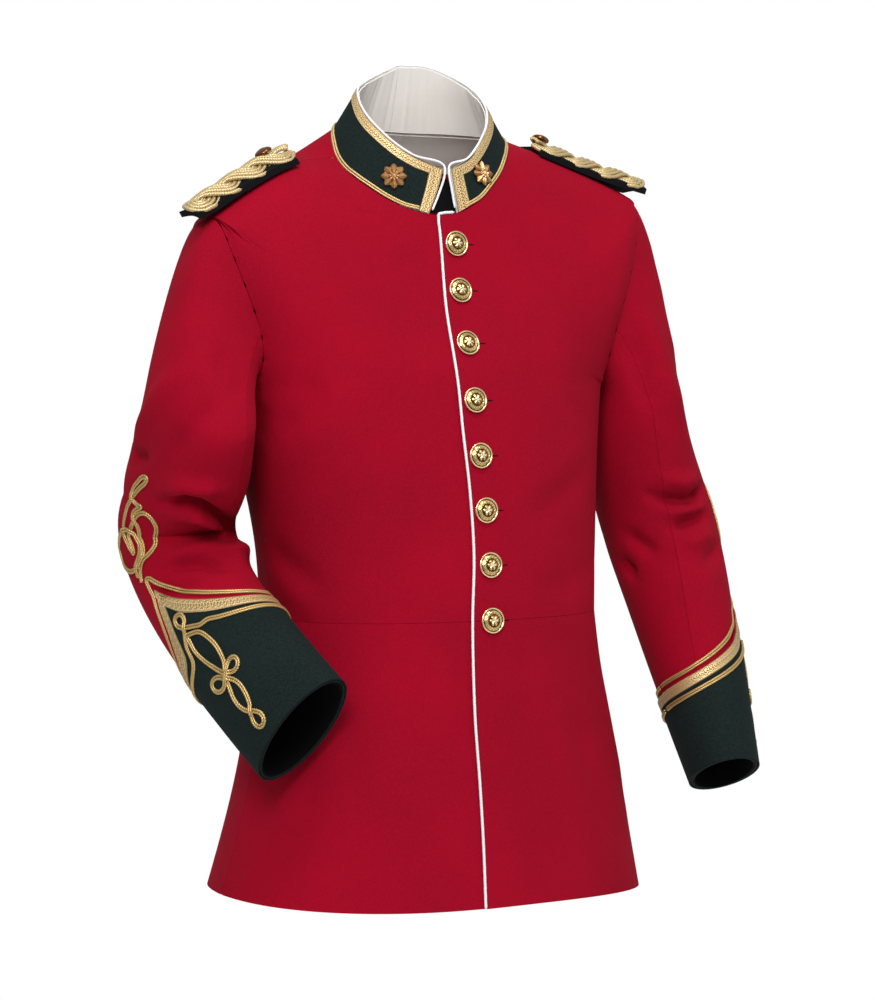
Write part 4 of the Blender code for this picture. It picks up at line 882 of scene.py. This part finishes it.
def ribbon_edges(node, sides=4):
    """Middle of each side edge of a ribbon's cross-sections, the same side first in all of them."""
    first, second = [], []
    for ring in sections(node, sides):
        apart = [(np.linalg.norm(ring[a] - ring[b]), a, b) for a in range(sides) for b in range(a)]
        a, b = max(apart)[1:]
        near_a = [k for k in range(sides) if np.linalg.norm(ring[k] - ring[a]) < np.linalg.norm(ring[k] - ring[b])]
        near_b = [k for k in range(sides) if k not in near_a]
        p, q = ring[near_a].mean(axis=0), ring[near_b].mean(axis=0)
        if first and np.linalg.norm(p - first[-1]) + np.linalg.norm(q - second[-1]) > (
                np.linalg.norm(q - first[-1]) + np.linalg.norm(p - second[-1])):
            p, q = q, p
        first.append(p)
        second.append(q)
    return np.array(first), np.array(second)


def split_at_corners(first, second):
    """The ribbon's sections in runs between its sharp corners; a corner belongs to both runs."""
    middle = (first + second) / 2
    ways = unit_rows(np.diff(middle, axis=0))
    cuts = [0] + [k for k in range(1, len(middle) - 1) if ways[k - 1].dot(ways[k]) < SHARP_CORNER] + [len(middle) - 1]
    return list(zip(cuts[:-1], cuts[1:]))


def lace(node, cloth, away, narrower=0.0):
    """A band of lace along a ribbon's solid, lying on the finished cloth, narrower at its upper edge by a share."""
    first, second = ribbon_edges(node)
    if first[:, 2].mean() < second[:, 2].mean():
        first, second = second, first
    first = first + (second - first) * narrower
    rows = []
    for start, end in split_at_corners(first, second):
        run = through(np.hstack([(first[start:end + 1] + second[start:end + 1]) / 2,
                                 first[start:end + 1], second[start:end + 1]]), LACE_STEP * MM)
        rows += list(run if not rows else run[1:])
    rows = np.array(rows)
    lengths = lengths_along(rows[:, :3])
    shares = np.linspace(0, 1, LACE_COLUMNS + 1)
    top = np.array([[p + (q - p) * s for s in shares] for p, q in zip(rows[:, 3:6], rows[:, 6:9])])
    count, across = top.shape[:2]
    flat = top.reshape(-1, 3)
    outs = away(flat)
    heights = height_over(flat, outs, surface_of([cloth_pieces[cloth]])).reshape(count, across)
    typical = np.nanmedian(heights, axis=1)
    typical = np.where(np.isfinite(typical), typical, np.nanmedian(heights))[:, None]
    heights = np.where(np.isfinite(heights), heights, typical)
    drop = np.clip(heights, typical - LACE_SWAY * MM, typical + LACE_SWAY * MM).reshape(-1)
    crown = LACE_OVER + LACE_THICK * np.clip(np.minimum(shares, 1 - shares) / LACE_EDGE, 0.25, 1.0)
    lifted = flat - outs * (drop - np.tile(crown, count) * MM)[:, None]
    below = flat - outs * (drop - LACE_OVER / 2 * MM)[:, None]
    faces, uvs = [], []
    under = len(flat)

    def quad(corners):
        faces.append(corners)
        uvs.extend((lengths[(k % under) // across], shares[(k % under) % across]) for k in corners)

    for i in range(count - 1):
        for j in range(across - 1):
            a = i * across + j
            quad((a, a + 1, a + 1 + across, a + across))
            quad((under + a, under + a + across, under + a + 1 + across, under + a + 1))
        for j in (0, across - 1):
            a = i * across + j
            quad((a, a + across, under + a + across, under + a))
    for i in (0, count - 1):
        for j in range(across - 1):
            a = i * across + j
            quad((a, a + 1, under + a + 1, under + a))
    piece = swept_piece(node + "_band", np.concatenate([lifted, below]), faces, uvs)
    bpy.ops.object.shade_smooth_by_angle(angle=math.radians(50))
    return dressed(piece, node, "gold_lace", woven)


woven = lace_material("woven_gilt_lace", LACE_GOLD)
for side in SIDES:
    node = "cuff_lace_" + side
    lace(node, "cuff_" + side, lambda points: from_arm(points, side), LACE_NARROWER)
    node = "collar_lace_" + side
    lace(node, "collar_" + side, from_body_axis)

# ---------------------------------------------------------------- collar braid and white piping
# A thin double braid over the collar's foot seam, and corded white piping round the collar and down the front edge.
# Each cord is swept along the middle line of its solid.
FOOT_CORD = 1.1
FOOT_PITCH = 3.6
FOOT_RIBS = 6.0
FOOT_PLACES = ((-0.15, -0.1), (-2.25, -0.1))    # how far up and out from the middle line each cord lies
FOOT_ONWARD = 8.0               # they run on under the lace at both ends
FOOT_HIGH = 0.8
# gold, painted shade for the furrows and painted highlight for the windings of the fine cords
FOOT_GOLD = ("E6C27C", "A97C3E", "FBEBB4")
PIPING_RADIUS = {"collar_piping": 1.15, "front_piping": 1.4}
PIPING_STEP = 2.0
PIPING_PITCH = 9.0
PIPING_TURN = 3.0               # the cord inside goes round once in this length
# white, with its dark tone the painted shade of the twisted cord inside
WHITE = ("E9E9EA", "D2D2D6", "F7F7F7")


def swept_cords(node, name, corners, places, radius, pitch, step, bed=None, onward=0.0, **more):
    """Cords along a swept node's middle line, each this far up and out from it in millimetres. They lie on the bed,
    where one is given, and run on past both ends."""
    middle = np.array([ring.mean(axis=0) for ring in sections(node, corners)])
    for end, beside in ((0, 1), (-1, -2)):
        way = middle[end] - middle[beside]
        middle[end] = middle[end] + way * (onward * MM / np.linalg.norm(way))
    fine = through(np.hstack([middle, from_body_axis(middle)]), step * MM)
    centres = fine[:, :3]
    ways, outs = squared(centres, unit_rows(fine[:, 3:6]))
    ups = np.cross(ways, outs)
    ups = ups * np.sign(ups[:, 2:3])
    cords = []
    for number, (up, out) in enumerate(places):
        line = centres + ups * (up * MM) + outs * (out * MM)
        if bed:
            line = set_down(line, outs, bed, FOOT_HIGH * radius * MM)
        cords.append(cord_mesh(name, line, outs, np.cross(outs, ways), radius * MM, pitch * MM, (-1) ** number,
                               **more))
    return joined(cords, name)


def piping_material(name, tones):
    """White corded cotton: a tight covering, with a faint diagonal of the cord inside painted on it as shade."""
    paint = Paint(name, tones)
    base, dark, light = paint.tones
    ply = paint.calc("COSINE", paint.calc("MULTIPLY", paint.slant(PIPING_TURN), 2 * math.pi))
    weave = paint.noise(1400.0, Detail=2.0)
    # the darker diagonal is painted shade of the cord's twist; the lighter flecks are random tone
    colour = paint.mix(weave, paint.mix(paint.ranged(ply, -1.0, 1.0), dark, base), light)
    return paint.done(colour, (weave, 0.3, 0.2), Roughness=0.75, Sheen_Weight=0.1)


fine_wire = gilt_wire("fine_gilt_wire_cord", FOOT_PITCH, FOOT_RIBS, metal=0.6, tones=FOOT_GOLD)
white_cord = piping_material("white_corded_cotton", WHITE)
collar = surface_of([facings["collar_left"], facings["collar_right"]])
foot = swept_cords("collar_braid", "collar_braid_cords", 5, FOOT_PLACES, FOOT_CORD, FOOT_PITCH, CORD_STEP, collar,
                   FOOT_ONWARD)
dressed(foot, "collar_braid", "gold_lace", fine_wire)
for node, radius in PIPING_RADIUS.items():
    piping = swept_cords(node, node + "_cord", 6, ((0, 0),), radius, PIPING_PITCH, PIPING_STEP, sides=10, plies=1,
                         depth=0.03)
    dressed(piping, node, "white_piping", white_cord)

# ---------------------------------------------------------------- shoulder straps
# Each shoulder carries a stiff padded strap of black cloth and on it a plaited cord: one flat strand of four gold
# gimp cords, taken out along the strap, round its outer end and back, crossing itself four times. The gimp is wire
# wound round a core.
GIMP_RADIUS = 2.15
GIMP_STEP = 1.0
GIMP_PITCH = 2.4                # two windings of wire to each turn
STRAND_CORDS = 4
STRAND_TURNS = 1.75             # turns of the plait along the strap
STRAND_SWING = 8.8              # the strand's middle swings this far to the front and back
STRAND_RISE = 2.6               # and rises this far over and sinks this far under its mean height
STRAND_FORWARD = 5.5            # the whole plait lies this far toward the strap's front edge
STRAND_CROWN = 0.9              # its middle cords lie this much higher
STRAND_CLOSE = 0.97             # its cords are pressed together to this part of their width
STRAND_SUNK = 0.4               # and into the pad by this much
STRAND_GATHER = 14.0            # its cords close up over this length at the inner end
FRONT_DROOP = (4.0, 16.0, 6.5)  # from this far forward, over this much, it rolls down over the edge by this much
ROPE_HALF_WIDTH = 19.0
ROPE_ENDS = (2.0, -2.0)         # it starts this far in from the inner end and stops this far short of the outer
PAD_LEVELS = 2
# gold, painted shade for the furrows and painted highlight for the windings of the gimp
PALE_GOLD = ("DDBB72", "6A461C", "FBF0C8")
STRAP_BLACK = ("0B0B0E", "060608", "16161B")


def strap_axes(points, side):
    """Middle of a strap, the way out along it, the way across to the back, and the way up from it."""
    middle = points.mean(axis=0)
    spread = np.linalg.svd(points - middle, full_matrices=False)[2]
    way = spread[0] * np.sign(spread[0][0]) * (1 if side == "left" else -1)
    across = spread[1] * np.sign(spread[1][1])
    up = np.cross(way, across)
    return middle, way, across, up * np.sign(up[2])


def bed_terms(run, over):
    """The terms of a smooth surface: cubic along the strap, square across it."""
    return np.stack([np.ones_like(run), run, run ** 2, run ** 3, over, over ** 2, over * run, over ** 2 * run],
                    axis=-1)


def plaited_cord(node, side, strap):
    middle, way, across, up = strap_axes(node_points(node), side)
    along = (node_points(node) - middle) @ way / MM
    start, end = along.min() + ROPE_ENDS[0], along.max() - ROPE_ENDS[1]
    run, over = (grid.ravel() for grid in np.meshgrid(np.linspace(-1, 1, 40), np.linspace(-1, 1, 11)))
    spots = middle + way * ((start + end) / 2 + run * (end - start) / 2)[:, None] * MM + across * (
        over * ROPE_HALF_WIDTH)[:, None] * MM
    heights = height_over(spots, np.tile(up, (len(spots), 1)), surface_of([strap]))
    known = np.isfinite(heights)
    shape = np.linalg.lstsq(bed_terms(run, over)[known], heights[known], rcond=None)[0]
    # The middle of the strand in plan, out and back: run along the strap, place across it, and its part of a turn
    turn = end - STRAND_SWING - STRAND_CORDS * GIMP_RADIUS
    out_run = np.linspace(start, turn, int((turn - start) / GIMP_STEP))
    angle = 2 * math.pi * STRAND_TURNS * (out_run - turn) / (turn - start)
    bend = np.linspace(0, math.pi, int(math.pi * STRAND_SWING / GIMP_STEP))[1:-1]
    runs = np.concatenate([out_run, turn + STRAND_SWING * np.sin(bend), out_run[::-1]])
    overs = np.concatenate([-np.cos(angle), -np.cos(bend), np.cos(angle[::-1])]) * STRAND_SWING
    rises = np.concatenate([np.sin(angle), 0 * bend, -np.sin(angle[::-1])])
    plan = np.stack([runs, overs], axis=1)
    steps = unit_rows(np.gradient(plan, axis=0))
    beside = np.stack([-steps[:, 1], steps[:, 0]], axis=1)
    gather = 0.5 + 0.5 * np.clip((plan[:, :1] - start) / STRAND_GATHER, 0, 1)
    cords = []
    for place in range(STRAND_CORDS):
        off = (place - (STRAND_CORDS - 1) / 2) * 2 * GIMP_RADIUS * STRAND_CLOSE
        spots = plan + beside * off * gather
        run, over = spots[:, 0], spots[:, 1] - STRAND_FORWARD
        bed = bed_terms(2 * (run - start) / (end - start) - 1, np.clip(over / ROPE_HALF_WIDTH, -1, 1)) @ shape
        high = (GIMP_RADIUS + STRAND_RISE * (1 + rises) - STRAND_SUNK
                + STRAND_CROWN * math.cos(math.pi * off / (STRAND_CORDS * 2 * GIMP_RADIUS)))
        high = high - FRONT_DROOP[2] * np.clip((-over - FRONT_DROOP[0]) / FRONT_DROOP[1], 0, 1)
        centres = (middle + way * (run * MM)[:, None] + across * (over * MM)[:, None]
                   + up * (high * MM - bed)[:, None])
        ways, outs = squared(centres, up)
        cords.append(cord_mesh(node, centres, outs, np.cross(outs, ways), GIMP_RADIUS * MM, GIMP_PITCH * MM,
                               plies=1, depth=0.0))
    return dressed(joined(cords, node + "_plait"), node, "gold_lace", gimp)


# the gimp cords are smooth: their twist shows only as painted shade and painted highlights
gimp = gilt_wire("gilt_gimp_cord", GIMP_PITCH, 3.0, metal=0.6, tones=PALE_GOLD)
strap_cloth = melton("black_strap_wool", STRAP_BLACK, sheen=0.12)
for side in SIDES:
    node = "shoulder_backing_" + side
    strap = dressed(cloth_copy(node, PAD_LEVELS, "_pad"), node, "strap_cloth", strap_cloth)
    node = "shoulder_cord_" + side
    plaited_cord(node, side, strap)

# ---------------------------------------------------------------- buttons and badges
# Domed buttons stamped from sheet brass and gilded: a roped rim, a wreath of small leaves and a rosette. The two on
# the shoulders are small and plain-domed, browned with age. The collar badges are cast rosettes of eight leaves.
# each metal: its gilt, the painted shade of its recesses and the painted highlight of its raised relief
GILT = ("E9C57C", "5A3716", "FFF0C4")
AGED_GILT = ("8A5A34", "2C1710", "C89A68")
COPPERY_GILT = ("BC8850", "4B2510", "E6C79C")
COAT_BUTTON = (12.5, 52, 96)    # radius in millimetres, and the rings and segments of its mesh
SHOULDER_BUTTON = (9.0, 40, 64)
BADGE = (12.5, 56, 96)
RIM_START = 0.855               # the stamped face ends and the rim starts at this part of the radius


def stamped_metal(name, tones, roughness):
    """Gilded brass: painted shade darkens the recesses of its relief and a painted highlight lightens its raised
    parts, over a random tone.
    """
    paint = Paint(name, tones)
    base, dark, light = paint.tones
    relief = add_node(paint.tree, "ShaderNodeAttribute", {"attribute_name": "relief"}).outputs["Fac"]
    wear = paint.noise(450.0, Detail=4.0)
    # the relief gives painted shade in the recesses and painted highlights on raised parts; the noise adds random tone
    worn = paint.calc("MULTIPLY_ADD", wear, 0.35, relief)
    colour = paint.mix(paint.ranged(worn, 0.6, 1.1), paint.mix(paint.ranged(worn, 0.2, 0.55), dark, base), light)
    return paint.done(colour, (wear, 0.15, 0.1), Metallic=1.0, Roughness=roughness)


def coat_relief(share, angle):
    """Height of the stamped face and of its relief alone, in parts of the radius, at a share of the radius."""
    dome = 0.14 + 0.26 * (1 - np.clip(share / 0.86, 0, 1) ** 2.2)
    rim = 0.13 + 0.08 * np.sqrt(np.clip(1 - ((share - 0.93) / 0.075) ** 2, 0, 1)) * (1 + 0.12 * np.cos(44 * angle))
    wreath = (np.clip(np.cos(math.pi * (share - 0.66) / 0.30), 0, 1) ** 0.7
              * (0.5 + 0.5 * np.cos(16 * angle + 10 * np.abs(share - 0.66) / 0.15)))
    petals = np.clip(np.sin(math.pi * np.clip(share / 0.44, 0, 1)), 0, 1) * (0.5 + 0.5 * np.cos(6 * angle)) ** 0.8
    boss = np.exp(-(share / 0.10) ** 2)
    relief = np.where(share > RIM_START, 0.75, np.clip(wreath + petals + boss, 0, 1))
    return np.where(share > RIM_START, rim, dome + 0.06 * relief), relief


def plain_relief(share, angle):
    """A high plain dome with a faint star of five rays on it."""
    dome = 0.12 + 0.46 * np.sqrt(np.clip(1 - share ** 2, 0, 1))
    star = np.clip(np.cos(math.pi * share / 0.9), 0, 1) * (0.5 + 0.5 * np.cos(5 * angle + 5 * share))
    return dome + 0.05 * star, 0.25 + 0.75 * star


def rosette_relief(share, angle):
    """Eight pointed leaves with a rib down each, a bead between them, and a boss on a ring."""
    leaf = np.abs(np.cos(4 * angle))
    rib = np.clip(1 - np.abs(np.sin(4 * angle)) * 5, 0, 1)
    leaves = 0.10 + 0.16 * np.clip(1 - share, 0, 1) + 0.10 * leaf * np.clip(np.sin(math.pi * share), 0, 1)
    ring = np.exp(-((share - 0.34) / 0.05) ** 2)
    boss = np.clip(1 - (share / 0.24) ** 2, 0, 1)
    height = leaves + 0.05 * rib * (share > 0.38) + 0.09 * ring + 0.16 * boss
    return height, np.clip(0.2 + 0.5 * leaf * np.sin(math.pi * np.clip(share, 0, 1)) + 0.3 * rib + ring + boss, 0, 1)


def round_outline(angle):
    return np.ones_like(angle)


def leafy_outline(angle):
    return 0.76 + 0.24 * np.abs(np.cos(4 * angle)) ** 1.4


def upward(points):
    return np.tile((0.0, 0.0, 1.0), (len(points), 1))


def stamped(node, ending, sizes, relief, outline, material, outward=from_body_axis):
    """A disc worked from a ball: its upper half becomes the stamped face, its lower half the flat back."""
    radius, rings, segments = sizes
    solid = np.unique(np.round(node_points(node), 6), axis=0)
    middle = (solid.min(axis=0) + solid.max(axis=0)) / 2
    normal = np.linalg.svd(solid - solid.mean(axis=0), full_matrices=False)[2][2]
    normal = normal * np.sign(normal.dot(outward(middle[None])[0]))
    off = solid - middle
    centre = middle + (off - np.outer(off @ normal, normal)).mean(axis=0)
    base = centre + normal * (off @ normal).min()
    right = np.cross((0.0, 0.0, 1.0) if abs(normal[2]) < 0.9 else (0.0, 1.0, 0.0), normal)
    right /= np.linalg.norm(right)
    above = np.cross(normal, right)
    bpy.ops.object.select_all(action="DESELECT")
    bpy.ops.mesh.primitive_uv_sphere_add(segments=segments, ring_count=rings, radius=1.0)
    piece = bpy.context.object
    piece.name = node + ending
    ball = points_of(piece)
    polar = np.arccos(np.clip(ball[:, 2], -1, 1)) / (math.pi / 2)
    angle = np.arctan2(ball[:, 1], ball[:, 0])
    face = polar <= 1.0 + 1e-6
    share = np.where(face, polar, 2 - polar)
    height, shown = relief(share, angle)
    height = np.where(face, height, 0.0)
    reach = share * outline(angle) * radius * MM
    set_points(piece, base + right * (reach * np.cos(angle))[:, None] + above * (reach * np.sin(angle))[:, None]
               + normal * (height * radius * MM)[:, None])
    layer = piece.data.attributes.new("relief", "FLOAT", "POINT")
    layer.data.foreach_set("value", np.where(face, shown, 0.5))
    facing_out(piece)
    bpy.ops.object.shade_smooth_by_angle(angle=math.radians(60))
    return dressed(piece, node, "gilt_metal", material)


gilt = stamped_metal("gilded_stamped_brass", GILT, 0.24)
aged = stamped_metal("aged_gilded_brass", AGED_GILT, 0.28)
coppery = stamped_metal("gilded_cast_copper", COPPERY_GILT, 0.4)
BUTTONS = ["button_%d" % k for k in range(1, 9)]
for node in BUTTONS:
    stamped(node, "_stamped", COAT_BUTTON, coat_relief, round_outline, gilt)
for side in SIDES:
    node = "shoulder_button_" + side
    stamped(node, "_stamped", SHOULDER_BUTTON, plain_relief, round_outline, aged, upward)
    node = "collar_badge_" + side
    stamped(node, "_rosette", BADGE, rosette_relief, leafy_outline, coppery)

# ---------------------------------------------------------------- buttonholes
# The end of each worked buttonhole shows beside its button, closed to a slit of painted shade and bound with black
# thread.
# Each is a small ball drawn out along the slit and set into the cloth.
SLIT_SIZE = (9.0, 1.3, 0.8)     # length, width and thickness
SLIT_FROM = 12.0                # it starts this far beyond the button's middle
SLIT_BELOW = 0.6
SLIT_LOOK = (20.0, 50.0)        # the cloth is looked for from this far outside, over this length
slits = []
front = surface_of([body["front_left"], body["skirt_front_left"]])
for node in BUTTONS:
    solid = node_points(node)
    middle = (solid.min(axis=0) + solid.max(axis=0)) / 2
    out = from_body_axis(middle[None])[0]
    beside = np.cross((0.0, 0.0, 1.0), out)
    beside = beside * np.sign(beside[0])
    spot = middle + beside * ((SLIT_FROM + SLIT_SIZE[0] / 2) * MM) - np.array((0, 0, SLIT_BELOW * MM))
    place, facing = front.ray_cast(Vector(spot + out * (SLIT_LOOK[0] * MM)), Vector(-out), SLIT_LOOK[1] * MM)[:2]
    facing = np.array(facing) * np.sign(np.dot(facing, out))
    tangent = np.cross((0.0, 0.0, 1.0), facing)
    tangent = tangent * np.sign(tangent[0]) / np.linalg.norm(tangent)
    bpy.ops.object.select_all(action="DESELECT")
    bpy.ops.mesh.primitive_uv_sphere_add(segments=16, ring_count=8, radius=0.5)
    piece = bpy.context.object
    ways = np.array((tangent, np.cross(facing, tangent), facing))
    set_points(piece, np.array(place) + points_of(piece) * np.array(SLIT_SIZE) * MM @ ways)
    bpy.ops.object.shade_smooth()
    slits.append(piece)
buttonholes = joined(slits, "buttonhole_slits")
facing_out(buttonholes)
# near-black: the black binding thread, and painted shade in the slit
buttonholes.data.materials.append(black)
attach(buttonholes, "root")

# ---------------------------------------------------------------- trim sewn on
# The trim sewn to each panel: the pieces that hang from it or lie on it.
SEWN_ON = {"front_left": ["front_piping", *BUTTONS[:7]], "skirt_front_left": BUTTONS[7:],
           "collar_right": ["collar_piping", "collar_braid"]}
for side in SIDES:
    SEWN_ON.setdefault("collar_" + side, []).extend(["collar_lace_" + side, "collar_badge_" + side])
    SEWN_ON["cuff_" + side] = ["cuff_lace_" + side, "cuff_braid_" + side, "cuff_knot_" + side]
    SEWN_ON["top_sleeve_" + side] = ["sleeve_braid_" + side, "sleeve_knot_" + side]
    SEWN_ON["back_" + side] = ["shoulder_cord_" + side, "shoulder_button_" + side]
